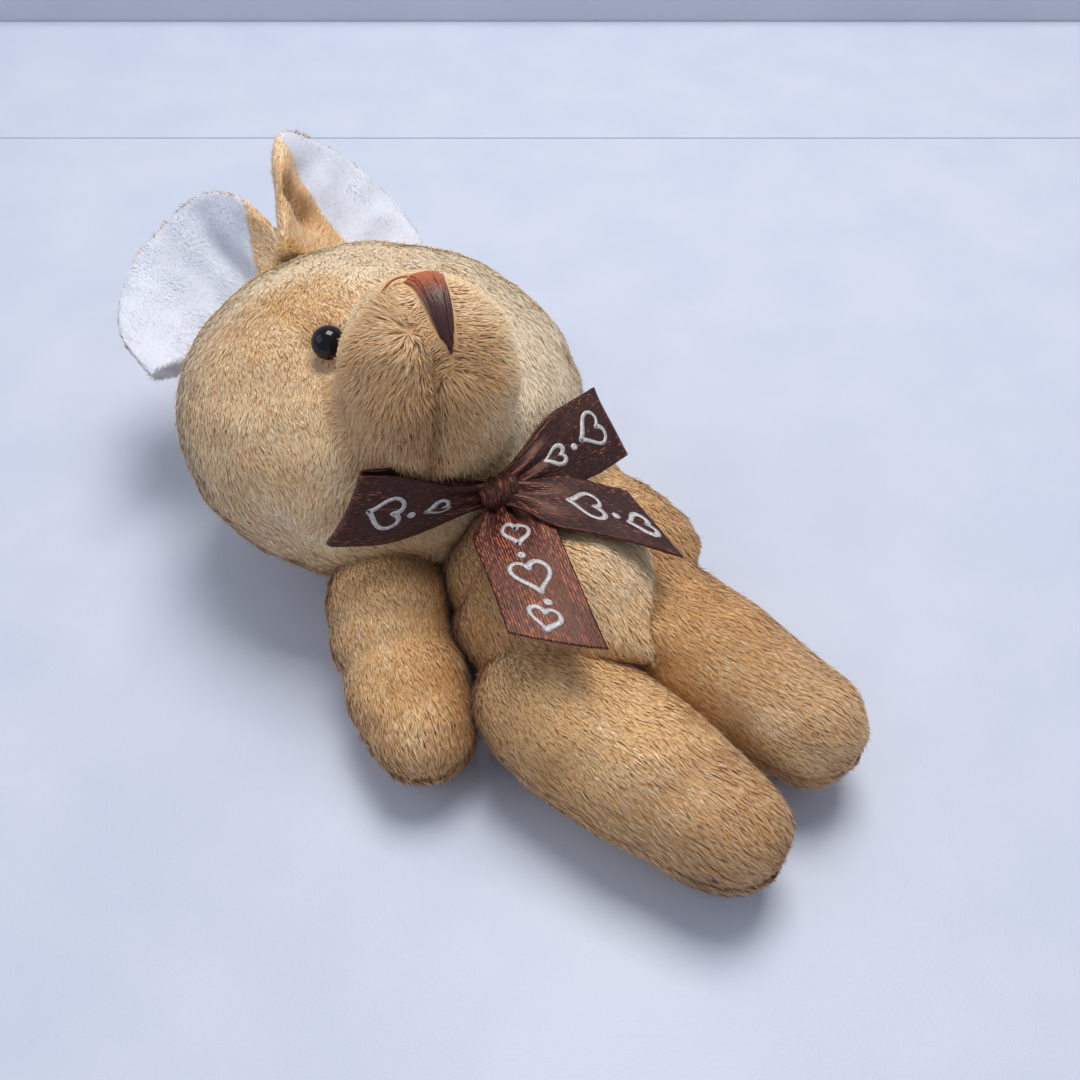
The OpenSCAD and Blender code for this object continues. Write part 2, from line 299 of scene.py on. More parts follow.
# ---------------------------------------------------------------- soft bodies
def ball_mesh(at, radius, n=28):
    """A round lump: points and triangles."""
    th, ph = np.meshgrid(np.linspace(0, math.pi, n), np.linspace(0, 2 * math.pi, 2 * n, endpoint=False), indexing="ij")
    p = np.stack([np.sin(th) * np.cos(ph), np.sin(th) * np.sin(ph), np.cos(th)], -1).reshape(-1, 3) * radius + at
    i = np.arange(n - 1)[:, None] * 2 * n
    j = np.arange(2 * n)[None]
    k = (j + 1) % (2 * n)
    return p, np.concatenate([np.stack([i + j, i + 2 * n + j, i + 2 * n + k], -1).reshape(-1, 3),
                              np.stack([i + j, i + 2 * n + k, i + k], -1).reshape(-1, 3)])


def outer_skin(name, nodes, voxel, grow, smooth_steps, lumps=()):
    """One closed skin round the given CAD nodes: joined, remeshed, outermost shell kept."""
    verts, faces, base = [], [], 0
    for at, radius in lumps:
        co, tr = ball_mesh(at, radius)
        verts.append(co)
        faces.append(tr + base)
        base += len(co)
    for n in nodes:
        w = np.array(frame["nodes"][n].matrix_world, float)
        co = coords(frame["nodes"][n]) @ w[:3, :3].T + w[:3, 3]
        verts.append(co)
        faces.append(triangles(frame["nodes"][n].data) + base)
        base += len(co)
    ob = mesh_object(name, np.vstack(verts), [np.vstack(faces)], [GROUND])
    activate(ob)
    add_modifier(ob, "WELD", merge_threshold=1e-6)
    bake_modifiers(ob)
    add_modifier(ob, "REMESH", mode="VOXEL", voxel_size=voxel)
    bake_modifiers(ob)
    keep_largest(ob)
    add_modifier(ob, "SMOOTH", factor=0.5, iterations=smooth_steps)
    bake_modifiers(ob)
    set_coords(ob, coords(ob) + normals(ob) * grow)
    return ob


def keep_largest(ob):
    me = ob.data
    n = len(me.vertices)
    ed = read(me.edges, "vertices", 2, np.int32)
    lab = np.arange(n)
    while True:
        new = lab.copy()
        np.minimum.at(new, ed[:, 0], lab[ed[:, 1]])
        np.minimum.at(new, ed[:, 1], lab[ed[:, 0]])
        new = new[new]
        if (new == lab).all():
            break
        lab = new
    co = coords(ob)
    best = max(np.unique(lab), key=lambda i: np.ptp(co[lab == i], axis=0).sum())
    keep = lab == best
    remap = np.cumsum(keep) - 1
    quads = [p.vertices[:] for p in me.polygons if keep[p.vertices[0]]]
    f4 = np.array([q for q in quads if len(q) == 4], np.int32).reshape(-1, 4)
    f3 = np.array([q for q in quads if len(q) == 3], np.int32).reshape(-1, 3)
    fs = [remap[f] for f in (f4, f3) if len(f)]
    new = mesh_object(ob.name + "_k", co[keep], fs, [GROUND])
    old = ob.data
    ob.data = new.data
    bpy.data.objects.remove(new)
    bpy.data.meshes.remove(old)


def stuff(ob, seam, cap, pressure=4.0, frames=20, scale_up=10):
    """Cloth pushed out by its filling between sewn lines, where seam gives 1; scaled up while it runs, moved by cap at most."""
    rest = coords(ob)
    set_coords(ob, rest * scale_up)
    g = ob.vertex_groups.new(name="sewn")
    s = seam(rest)
    for i, w in enumerate(s):
        if w > 0.02:
            g.add([i], float(min(1, w)), "REPLACE")
    m = ob.modifiers.new("filling", "CLOTH")
    for k, v in dict(quality=5, mass=0.2, tension_stiffness=25, compression_stiffness=25, shear_stiffness=12,
                     bending_stiffness=1.0, use_pressure=True, uniform_pressure_force=pressure,
                     vertex_group_mass="sewn").items():
        setattr(m.settings, k, v)
    m.settings.effector_weights.gravity = 0
    m.collision_settings.use_collision = False
    m.collision_settings.use_self_collision = False
    m.point_cache.frame_start = 1
    m.point_cache.frame_end = frames
    sc = bpy.context.scene
    for f in range(1, frames + 1):
        sc.frame_set(f)
    dg = bpy.context.evaluated_depsgraph_get()
    me = ob.evaluated_get(dg).to_mesh()
    co = read(me.vertices, "co").astype(float) / scale_up
    ob.evaluated_get(dg).to_mesh_clear()
    ob.modifiers.clear()
    ob.vertex_groups.clear()
    sc.frame_set(1)
    move = co - rest
    length = np.linalg.norm(move, axis=1)
    print("stuffed", ob.name, "moved mean %.3f mm, largest %.3f mm" % (length.mean() / MM, length.max() / MM))
    move *= (np.minimum(length, cap) / np.maximum(length, 1e-9))[:, None]
    set_coords(ob, rest + move)


# ---------------------------------------------------------------- pile
def sample(ob, per_mm2, seed, mask=None):
    tr = triangles(ob.data)
    co, no = coords(ob), normals(ob)
    a, b, c = co[tr[:, 0]], co[tr[:, 1]], co[tr[:, 2]]
    area = np.linalg.norm(np.cross(b - a, c - a), axis=1) / 2
    r = np.random.default_rng(seed)
    n = int(area.sum() / MM**2 * per_mm2)
    pick = np.searchsorted(np.cumsum(area), r.uniform(0, area.sum(), n))
    pick = np.minimum(pick, len(tr) - 1)
    u, v = r.uniform(size=(2, n))
    flip = u + v > 1
    u[flip], v[flip] = 1 - u[flip], 1 - v[flip]
    w = 1 - u - v
    t = tr[pick]
    p = co[t[:, 0]] * w[:, None] + co[t[:, 1]] * u[:, None] + co[t[:, 2]] * v[:, None]
    nn = unit(no[t[:, 0]] * w[:, None] + no[t[:, 1]] * u[:, None] + no[t[:, 2]] * v[:, None])
    if mask is not None:
        k = mask(p, nn) > r.uniform(size=n)
        p, nn = p[k], nn[k]
    return p, nn


def pile(name, p, n, nap, length, rise, soft, width, tones, mats, seed, clump, clump_every, jitter, sink=0.07):
    """Blades of pile: root quad and tip triangle each. nap (N, 3), length and rise (N,), tones (N, 2) material indices."""
    r = np.random.default_rng(seed)
    k = len(p)
    d = unit(nap - (nap * n).sum(1)[:, None] * n)
    side = np.cross(n, d)
    ang = r.normal(0, jitter, k)
    d = unit(d * np.cos(ang)[:, None] + side * np.sin(ang)[:, None])
    L = length * r.uniform(0.72, 1.15, k)
    stray = r.uniform(size=k) < 0.06
    lean = np.clip(rise + r.normal(0, 0.035, k) + stray * r.uniform(0.1, 0.4, k), 0.05, 1.3)
    up = np.sin(lean) * L
    along = np.cos(lean) * L
    root = p - n * (sink * MM) - d * (along * 0.12)[:, None]
    mid = p + n * (up * 0.55)[:, None] + d * (along * 0.42)[:, None]
    tip = p + n * up[:, None] + d * along[:, None]
    if clump > 0 and k > 200:
        centre = np.arange(0, k, clump_every)
        kd = kdtree.KDTree(len(centre))
        look = p + d * (along * 0.5)[:, None]
        for i, c in enumerate(centre):
            kd.insert(look[c], i)
        kd.balance()
        near = np.array([kd.find(q)[1] for q in look])
        c = centre[near]
        pull = clump * r.uniform(0.6, 1.1, k) * ~stray
        tip += (tip[c] - tip) * pull[:, None]
        mid += (mid[c] - mid) * (pull * 0.45)[:, None]
    d2 = unit(tip - mid)
    s = unit(np.cross(n, d2))
    roll = r.normal(0, 0.16, k)
    s = unit(s * np.cos(roll)[:, None] + n * np.sin(roll)[:, None])
    w = (width * r.uniform(0.7, 1.3, k) * np.where(stray, 0.7, 1))[:, None] * 0.5
    v = np.empty((k, 5, 3))
    v[:, 0], v[:, 1] = root - s * w * 0.9, root + s * w * 0.9
    v[:, 2], v[:, 3] = mid + s * w, mid - s * w
    v[:, 4] = tip
    v[:, :, 2] = np.maximum(v[:, :, 2], 0.00005)
    i = np.arange(k)[:, None] * 5
    quads = np.hstack([i, i + 3, i + 2, i + 1])
    tris = np.hstack([i + 3, i + 4, i + 2])
    face = unit(np.cross(d2, s))
    face *= np.where((face * n).sum(1) < 0, -1, 1)[:, None]
    shade = np.repeat(unit(n * soft[:, None] + face * (1 - soft[:, None])), 5, 0)
    return mesh_object(name, v.reshape(-1, 3), [quads, tris], mats, [tones[:, 0], tones[:, 1]], shade=shade)


def tone_pick(k, seed, level, gold):
    """Root and tip material index for each blade from a lightness level and a gold share, both 0..1."""
    r = np.random.default_rng(seed)
    x = np.clip(level + r.normal(0, 0.07, k), 0, 1)
    g = r.uniform(size=k) < gold
    tip = np.where(g, np.select([x < 0.2, x < 0.5], [BROWN, GOLD], GOLD_LIGHT),
                   np.select([x < 0.25, x < 0.52, x < 0.78], [BROWN, BEIGE, LIGHT], CREAM))
    root = np.where(x < 0.25, ROOT_DARK, np.where(g, ROOT_GOLD, np.select([x < 0.5, x < 0.75], [ROOT, BEIGE], LIGHT)))
    return np.stack([root, tip], 1)


# ---------------------------------------------------------------- places, from the frame's joints
def rot(x, y, z):
    """The turn that OpenSCAD's rotate([x, y, z]) makes."""
    return np.array(Matrix.Rotation(math.radians(z), 3, "Z") @ Matrix.Rotation(math.radians(y), 3, "Y")
                    @ Matrix.Rotation(math.radians(x), 3, "X"), float)


class Place:
    """A place with its own axes; lengths inside it are millimetres."""

    def __init__(self, at, axes):
        self.at, self.axes = np.asarray(at, float), np.asarray(axes, float)

    def inner(self, at, axes):
        return Place(self.out(np.asarray(at, float)), self.axes @ axes)

    def into(self, p):
        return (p - self.at) @ self.axes / MM

    def out(self, q):
        return np.asarray(q, float) * MM @ self.axes.T + self.at

    def turn(self, d):
        return np.asarray(d, float) @ self.axes.T

    def turn_in(self, d):
        return d @ self.axes


def limb(joint):
    """Axes of a limb: +Y back up the limb, +Z up, from its joint's axis."""
    x = -jaxis(joint)
    z = np.array((0.0, 0.0, 1.0))
    return Place(jpos(joint), np.stack([x, np.cross(z, x), z], 1))


HEAD = Place(jpos("head_lean"), rot(0, 0, -20) @ rot(4, 0, 0) @ rot(0, 6, 0))
HEAD_R = np.array((28.7, 27.1, 20.6))
MUZZLE = HEAD.inner((0.2, -15.8, 18.6), rot(-6, 0, 0))
MUZZLE_R = np.array((10.7, 11.6, 13.7))
ARM = {s: limb("arm_%s_lift" % s).inner((0, -4, -3), np.eye(3)) for s in ("left", "right")}
LEG = {s: limb("leg_%s_lift" % s) for s in ("left", "right")}
EAR = {"left": Place(jpos("ear_left_fold"), rot(35, 38, -10)), "right": Place(jpos("ear_right_fold"), rot(12, -28, -6))}
SHOULDER = {s: (jpos("arm_%s_lift" % s) + jaxis("arm_%s_lift" % s) * k * MM + np.array((0, 0.8, 0.6)) * MM, 7.9 * MM)
            for s, k in (("left", 1.3), ("right", -1.3))}
HIP = {s: (LEG[s].out((0, 3.8, 1.2)), 9.5 * MM) for s in ("left", "right")}
KNOT = jpos("loop_left_flap")
BELLY = Place((-0.8 * MM, -7 * MM, 12.8 * MM), np.eye(3))


# ---------------------------------------------------------------- camera, light, table
def studio():
    cam = bpy.data.objects.new("Camera", bpy.data.cameras.new("Camera"))
    bpy.context.scene.collection.objects.link(cam)
    at, look = Vector((-0.0622, -0.0704, 0.1250)), Vector((0.0157, 0.0179, -0.0042))
    cam.location = at
    cam.rotation_euler = (look - at).to_track_quat("-Z", "Y").to_euler()
    cam.data.sensor_width = 36
    cam.data.lens = 36.66
    cam.data.clip_start = 0.002
    cam.data.clip_end = 20
    bpy.context.scene.camera = cam
    bpy.context.scene.view_settings.view_transform = "Standard"

    world = bpy.data.worlds.new("World")
    bpy.context.scene.world = world
    world.use_nodes = True
    bg = world.node_tree.nodes["Background"]
    bg.inputs["Color"].default_value = (0.80, 0.87, 1.0, 1)
    bg.inputs["Strength"].default_value = 0.45

    def area(name, at, size, power, color, look=(0.005, 0.0, 0.0)):
        li = bpy.data.lights.new(name, "AREA")
        li.shape = "RECTANGLE"
        li.size, li.size_y = size
        li.energy = power
        li.color = color
        ob = bpy.data.objects.new(name, li)
        ob.location = at
        ob.rotation_euler = (Vector(look) - Vector(at)).to_track_quat("-Z", "Y").to_euler()
        bpy.context.scene.collection.objects.link(ob)

    area("overhead", (0.16, 0.10, 0.55), (0.28, 0.28), 2.65, (1.0, 0.97, 0.93))
    area("window", (-0.45, 0.30, 0.40), (0.5, 0.4), 0.65, (0.86, 0.92, 1.0))

    table = principled("table_laminate", lin(198, 204, 221), 0.45, **{"Specular IOR Level": 0.35})
    noise_color(table, 60, [(0.35, lin(195, 202, 220)), (0.65, lin(201, 207, 223))], bump=0.15, bump_scale=2500)
    wall = principled("wall_paint", lin(200, 205, 217), 0.8)
    noise_color(wall, 30, [(0.3, lin(197, 202, 214)), (0.7, lin(204, 209, 221))], bump=0.1, bump_scale=900)

    def slab(name, at, half, mat, turn, bevel=0.001):
        me = bpy.data.meshes.new(name)
        corners = [(x * half[0], y * half[1], z * half[2]) for x in (-1, 1) for y in (-1, 1) for z in (-1, 1)]
        me.from_pydata(corners, [], [(0, 1, 3, 2), (4, 6, 7, 5), (0, 4, 5, 1), (2, 3, 7, 6), (0, 2, 6, 4), (1, 5, 7, 3)])
        me.materials.append(mat)
        ob = bpy.data.objects.new(name, me)
        ob.location = at
        ob.rotation_euler = (0, 0, turn)
        bpy.context.scene.collection.objects.link(ob)
        add_modifier(ob, "BEVEL", width=bevel, segments=3)
        return ob

    back = Vector((look.x - at.x, look.y - at.y, 0)).normalized()
    turn = math.atan2(back.y, back.x) - math.pi / 2
    top = slab("table_top", (0, 0, -0.01), (3, 3, 0.01), table, turn)
    ledge = slab("back_ledge", tuple(at.xy.to_3d() + back * 0.639 + Vector((0, 0, -0.0001))),
                 (3, 0.4, 0.0005), table, turn, 0.0004)
    rail = slab("back_rail", tuple(at.xy.to_3d() + back * 0.902 + Vector((0, 0, 0.01))), (3, 0.6, 0.01), wall, turn)


studio()


# ---------------------------------------------------------------- where the pile lies, and its tone
def seam_line(z, z0, width=0.55):
    return np.exp(-(((z - z0) / width) ** 2))


def muzzle_share(p):
    q = MUZZLE.into(p)
    return smooth01(1.26 - np.linalg.norm(q / MUZZLE_R, axis=1), 0.0, 0.2), q


def mouth_line(q):
    """How near a point of the muzzle is to the sewn line under the nose, and which side of it."""
    middle = -2.2 + 0.10 * (q[:, 1] + 8)
    side = q[:, 0] - middle
    return np.exp(-((side / 1.0) ** 2)) * smooth01(-q[:, 1], 7.0, 9.0) * smooth01(q[:, 2], -8, -3), side


def head_pile(p, n):
    m, q = muzzle_share(p)
    h = HEAD.into(p)
    down = np.stack([0.010 * h[:, 0], np.full(len(p), -1.0), np.full(len(p), -0.22)], 1)
    sway = 0.35 * waves(p, 14 * MM, 3) + 0.16 * waves(p, 5 * MM, 4)
    down[:, 0] += sway
    nap_h = HEAD.turn(down)
    near, side = mouth_line(q)
    shag = m * smooth01(2.5 - q[:, 1], 0, 5)
    whorl = q - np.array((-3.2, -6.0, 12.0))
    whorl[:, 0] += 1.6 * waves(p, 4.5 * MM, 5)
    whorl[:, 1] += 1.6 * waves(p, 4.5 * MM, 6)
    swirl = np.stack([-whorl[:, 1], whorl[:, 0], 0 * side], 1)
    swirl *= 0.9 * np.exp(-np.linalg.norm(whorl[:, :2], axis=1) / 4.0)[:, None]
    nap_m = MUZZLE.turn(unit(whorl + swirl))
    off = np.abs(q[:, 0]) - nose_half_width(q[:, 1])
    beside = np.exp(-((np.maximum(off, 0) / 1.8) ** 2)) * (q[:, 1] < 3.0) * (q[:, 1] > -9.5) * (q[:, 2] > 5)
    outward = MUZZLE.turn(np.stack([np.sign(q[:, 0]), -0.5 + 0 * side, 0 * side], 1))
    nap_m = unit(nap_m * (1 - beside)[:, None] + outward * beside[:, None])
    up = MUZZLE.turn(np.stack([0.12 * q[:, 0], np.ones(len(p)), 0 * side], 1))
    nap = unit(nap_h) * (1 - m)[:, None] + nap_m * shag[:, None] + unit(up) * (m - shag)[:, None]
    crown = smooth01(h[:, 1], 2, 20)
    length = (1.6 - 0.4 * crown) * (1 - m) + (1.2 + 0.9 * shag) * m
    length *= (1 - 0.3 * near) * (1 - 0.4 * beside)
    for e in eye_centres():
        length *= 1 - 0.5 * np.exp(-((np.linalg.norm(p - e, axis=1) / MM / 4.2) ** 4))
    rise = np.radians(8 - 5 * crown) * (1 - m) + np.radians(6 + 16 * shag) * m
    # Painted light: the pile lighter towards the crown and on the head's lit side.
    lit_crown_and_side = np.maximum(smooth01(h[:, 1], -7, 17), smooth01(h[:, 0], 0, 20))
    # Painted shade: the muzzle darker on its lower, left part, away from the light.
    low = smooth01(5 - 0.7 * q[:, 0] - q[:, 1], 0, 18)
    level = (0.66 + 0.34 * lit_crown_and_side * (1 - 0.75 * m * low) + 0.08 * waves(p, 8 * MM, 7) * (1 - 0.6 * lit_crown_and_side)
             - (0.05 + 0.27 * low) * m - 0.2 * near)
    level += 0.08 * (m - shag)
    brushed = np.exp(-(((h[:, 0] + 12.5) / 7.5) ** 2) - (((h[:, 1] - 2.5) / 6.5) ** 2)) * (h[:, 2] > 0) * (1 - m)
    gold = 0.16 + 0.62 * brushed + 0.1 * waves(p, 11 * MM, 8) * (1 - lit_crown_and_side) - 0.25 * lit_crown_and_side + 0.1 * m
    level -= 0.22 * brushed
    seam = seam_line(p[:, 2] / MM, 20.0) * (1 - m)
    return nap, length * (1 - 0.2 * seam), rise, level - 0.08 * seam, gold, 0.8 + 0.15 * crown * (1 - m) - 0.4 * shag


def torso_pile(p, n):
    b = BELLY.into(p)
    d = np.stack([0.12 * waves(p, 9 * MM, 13) + 0.012 * b[:, 0], -np.ones(len(p)), np.zeros(len(p))], 1)
    length = np.full(len(p), 1.6)
    right, low = smooth01(-b[:, 0], 1, 8), smooth01(-b[:, 1], 6, 11)
    # Painted shade: darker and more golden on the right side, towards the arm; the belly is also darker and more golden
    # towards its bottom.
    level = 0.66 + 0.08 * waves(p, 8 * MM, 14) + 0.14 * smooth01(b[:, 0], 0, 8) - 0.34 * right - 0.2 * low
    gold = 0.24 + 0.12 * waves(p, 9 * MM, 15) + 0.4 * right + 0.2 * low
    return d, length, np.full(len(p), np.radians(9)), level, gold, np.full(len(p), 0.75)


def limb_pile(place, z0, reach, seed, gold_at, shade):
    def fields(p, n):
        q = place.into(p)
        d = np.stack([0.14 * waves(p, 8 * MM, seed) + 0.02 * q[:, 0], -np.ones(len(p)), -0.05 + 0 * q[:, 0]], 1)
        nap = place.turn(d)
        along = np.clip(-q[:, 1] / reach, -0.3, 1)
        seam = seam_line(p[:, 2] / MM, z0, 0.5)
        nap = nap + np.array((0, 0, 1.0)) * (np.sign(p[:, 2] / MM - z0) * seam * 0.5)[:, None]
        length = 1.7 * (1 - 0.25 * seam)
        rise = np.radians(9 + 7 * smooth01(along, 0.5, 1.0))
        level = 0.42 + 0.08 * waves(p, 7 * MM, seed + 1) - 0.1 * seam + shade(q, along)
        gold = 0.34 + 0.12 * waves(p, 9 * MM, seed + 2) + gold_at(q, along)
        return nap, length, rise, level, gold, 0.75 - 0.2 * smooth01(along, 0.6, 1.0)
    return fields


def ground_tone(ob, fields):
    p, n = coords(ob), normals(ob)
    f = fields(p, n)
    attribute(ob, "tone", np.stack([f[3] + 0.02, f[4], 0 * f[3]], 1).clip(0, 1))


def grow_pile(name, skin, body, fields, per_mm2, seed, mats=None, tones=tone_pick, width=0.17,
              clump=0.24, every=8, mask=None, parts=1, jitter=0.2, move=None):
    """Pile over a skin, as one or more pieces of it."""
    mats = mats or FUR

    def thin(p, n):
        under = (n[:, 2] < -0.45) & (p[:, 2] < 5 * MM)
        k = np.where(under, 0.3, 1.0)
        return k * mask(p, n) if mask is not None else k

    p, n = sample(skin, per_mm2, seed, thin)
    nap, length, rise, level, gold, soft = fields(p, n)
    t = tones(len(p), seed + 1, level, gold)
    order = np.argsort(p[:, 0], kind="stable")
    made = []
    for i, part in enumerate(np.array_split(order, parts)):
        ob = pile(name if parts == 1 else "%s_%d" % (name, i + 1), p[part], n[part], nap[part], length[part] * MM,
                  rise[part], soft[part], width * MM, t[part], mats, seed + 2 + i, clump, every, jitter)
        if move:
            move(ob)
        else:
            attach(ob, body)
        made.append(ob)
    print("pile", name, len(p), "blades")
    return made


# ---------------------------------------------------------------- head and muzzle
def relax(ob, weight, steps):
    """Soften a skin where weight, one value per point, is above 0."""
    g = ob.vertex_groups.new(name="relax")
    for i in np.nonzero(weight > 0.02)[0]:
        g.add([int(i)], float(weight[i]), "REPLACE")
    add_modifier(ob, "SMOOTH", factor=0.5, iterations=steps, vertex_group="relax")
    bake_modifiers(ob)
    ob.vertex_groups.clear()


def settle(ob):
    co = coords(ob)
    co[:, 2] = np.maximum(co[:, 2], 0.0002)
    set_coords(ob, co)


def press_in(ob, balls):
    """Dent a skin where it presses on something round."""
    p = coords(ob)
    for c, r in balls:
        away = p - c
        dist = np.linalg.norm(away, axis=1)
        deep = dist < r
        p[deep] = c + away[deep] * (r / dist[deep])[:, None]
    set_coords(ob, p)


def off_shoulders(p, n):
    k = np.ones(len(p))
    for c, r in SHOULDER.values():
        k *= np.linalg.norm(p - c, axis=1) > r - 0.1 * MM
    return k


def eye_centres():
    return [np.array(sum(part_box("eye_" + s), Vector())) / 2 for s in ("left", "right")]


def make_head():
    nodes = ["head_front", "head_back", "head_filling", "muzzle_left", "muzzle_right", "muzzle_filling"]
    skin = outer_skin("head_plush", nodes, 0.6 * MM, 0.1 * MM, 14)

    co = coords(skin)
    near = np.linalg.norm(MUZZLE.into(co) / MUZZLE_R, axis=1)
    base = np.linalg.norm(HEAD.into(co) / HEAD_R, axis=1)
    fillet = smooth01(near, 0.86, 1.0) * (1 - smooth01(near, 1.3, 1.5)) * (1 - smooth01(base, 1.12, 1.3))
    relax(skin, fillet, 90)

    def sewn(p):
        m, q = muzzle_share(p)
        return np.maximum(seam_line(p[:, 2] / MM, 20.0, 0.6) * (1 - m), mouth_line(q)[0])
    stuff(skin, sewn, cap=0.7 * MM)
    p, n = coords(skin), normals(skin)
    q = muzzle_share(p)[1]
    dent = 0.9 * mouth_line(q)[0] + 0.12 * waves(p, 12 * MM, 21) + 0.10 * waves(p, 6 * MM, 22)
    for e in eye_centres():
        dent += 1.5 * np.exp(-((np.linalg.norm(p - e, axis=1) / MM / 3.4) ** 4))
    set_coords(skin, p - n * (dent * MM)[:, None])
    press_in(skin, [(c, r + 0.3 * MM) for c, r in SHOULDER.values()])
    settle(skin)
    ground_tone(skin, head_pile)
    piece(skin, "head", "plush", *nodes, fill=0.9)

    def clear(p, n):
        k = off_shoulders(p, n)
        for e in eye_centres():
            k *= (np.linalg.norm(p - e, axis=1) > 2.8 * MM)
        q = MUZZLE.into(p)
        k *= ~(nose_area(q, 0.35) & (q[:, 2] > 5))
        return k

    grow_pile("head_pile", skin, "head", head_pile, 22.0, 101, mask=clear, parts=3)


def nose_half_width(y):
    """Half the nose's width at a height y on the muzzle, 1.6 at its top and -8.6 at its tip."""
    return np.interp(y, [-8.6, -5.0, -0.4, 1.6], [0.45, 1.15, 1.75, 2.45])


def nose_area(q, grow=0.0):
    return (np.abs(q[:, 0]) < nose_half_width(q[:, 1]) + grow) & (q[:, 1] < 1.6 + grow) & (q[:, 1] > -7.7 - grow)


# ---------------------------------------------------------------- stitches and threads
def tubes(name, paths, radius, mats, sides=7):
    """Round threads along the given paths, each (N, 3), as one mesh with closed ends."""
    verts, quads, caps, base = [], [], [], 0
    for k, path in enumerate(paths):
        t = unit(np.gradient(path, axis=0))
        ref = np.array((0.0, 0.0, 1.0)) if abs(t[0][2]) < 0.9 else np.array((1.0, 0.0, 0.0))
        a = unit(np.cross(t, ref))
        b = np.cross(t, a)
        ang = np.linspace(0, 2 * math.pi, sides, endpoint=False)
        r = radius(k, np.linspace(0, 1, len(path))) if callable(radius) else np.full(len(path), radius)
        around = a[:, None] * np.cos(ang)[None, :, None] + b[:, None] * np.sin(ang)[None, :, None]
        verts.append((path[:, None] + around * r[:, None, None]).reshape(-1, 3))
        i = np.arange(len(path) - 1)[:, None] * sides + base
        j = np.arange(sides)[None]
        jn = (j + 1) % sides
        quads.append(np.stack([i + j, i + jn, i + sides + jn, i + sides + j], -1).reshape(-1, 4))
        caps.append(np.array([np.arange(sides)[::-1] + base, np.arange(sides) + base + (len(path) - 1) * sides]))
        base += len(path) * sides
    return mesh_object(name, np.vstack(verts), [np.vstack(quads), np.vstack(caps)], mats)


def muzzle_point(x, y, lift):
    """A point over the muzzle at x across and y up, lifted off its skin by lift."""
    z = MUZZLE_R[2] * np.sqrt(np.clip(1 - (x / MUZZLE_R[0]) ** 2 - (y / MUZZLE_R[1]) ** 2, 0.02, 1))
    q = np.stack([x, y, z], -1)
    n = unit(q / MUZZLE_R ** 2)
    return MUZZLE.out(q + n * lift[..., None])


def thread_material():
    """Rayon thread, with a painted orange-brown highlight at the top of the nose, darker brown down it."""
    m = principled("nose_thread_mat", lin(110, 58, 42), 0.4, **{
        "Sheen Weight": 0.4, "Sheen Roughness": 0.3, "Sheen Tint": lin(220, 130, 80)})
    sh = Shader(m)
    down = sh.node("Attribute", "Fac", {}, attribute_name="down")
    k = sh.math("MULTIPLY_ADD", sh.noise(sh.node("TexCoord", "Object", {}), 2400), 0.7, down)
    stops = [(0.35, lin(186, 102, 62)), (0.75, lin(120, 62, 44)), (1.0, lin(70, 36, 32))]
    sh.put(sh.inputs["Base Color"], sh.ramp(k, stops))
    return m


def make_nose():
    thread = thread_material()
    paths = []
    r = np.random.default_rng(31)
    n = 22
    for layer in range(3):
        for i in range(n):
            a = -1 + 2 * (i + 0.5 * (layer % 2)) / (n - 0.5)
            a = min(a * (1 - 0.16 * layer), 1)
            top = 1.6 + 0.3 * (1 - a * a) + r.uniform(-0.1, 0.1)
            low = -8.6 + 2.2 * abs(a) * r.uniform(0.5, 1.2) + 0.6 * layer
            y = np.linspace(top, low, 26)
            t = np.linspace(0, 1, 26)
            x = a * nose_half_width(y) + 0.12 * np.sin(y * 0.9 + r.uniform(0, 6)) * (1 - abs(a))
            lift = -0.3 + (0.75 + 0.42 * (1 - a * a) + 0.2 * layer) * np.sin(math.pi * t) ** 0.35
            paths.append(muzzle_point(x, y, lift))
    for _ in range(5):
        a0, a1 = r.uniform(-0.8, 0.8, 2)
        y = np.linspace(0.8 - r.uniform(0, 2), -6.5 + r.uniform(-1, 1), 20)
        x = np.linspace(a0, a1, 20) * nose_half_width(y)
        paths.append(muzzle_point(x, y, 1.25 * np.sin(math.pi * np.linspace(0.12, 0.9, 20)) ** 0.5))
    t = np.linspace(0, 1, 16)
    paths.append(muzzle_point(-1.9 - 3.0 * t, 1.5 - 0.5 * t * t, 0.5 + 0.35 * np.sin(t * 3.1)))
    ob = tubes("nose_threads", paths, 0.15 * MM, [thread])
    q = MUZZLE.into(coords(ob))
    # Lighter at the top of the nose: the painted highlight on the stitches' upper bend, fading down the nose.
    attribute(ob, "down", smooth01(-q[:, 1], -1.0, 6.0) * 0.75)
    piece(ob, "head", "nose_thread", "nose_stitching")
    return thread


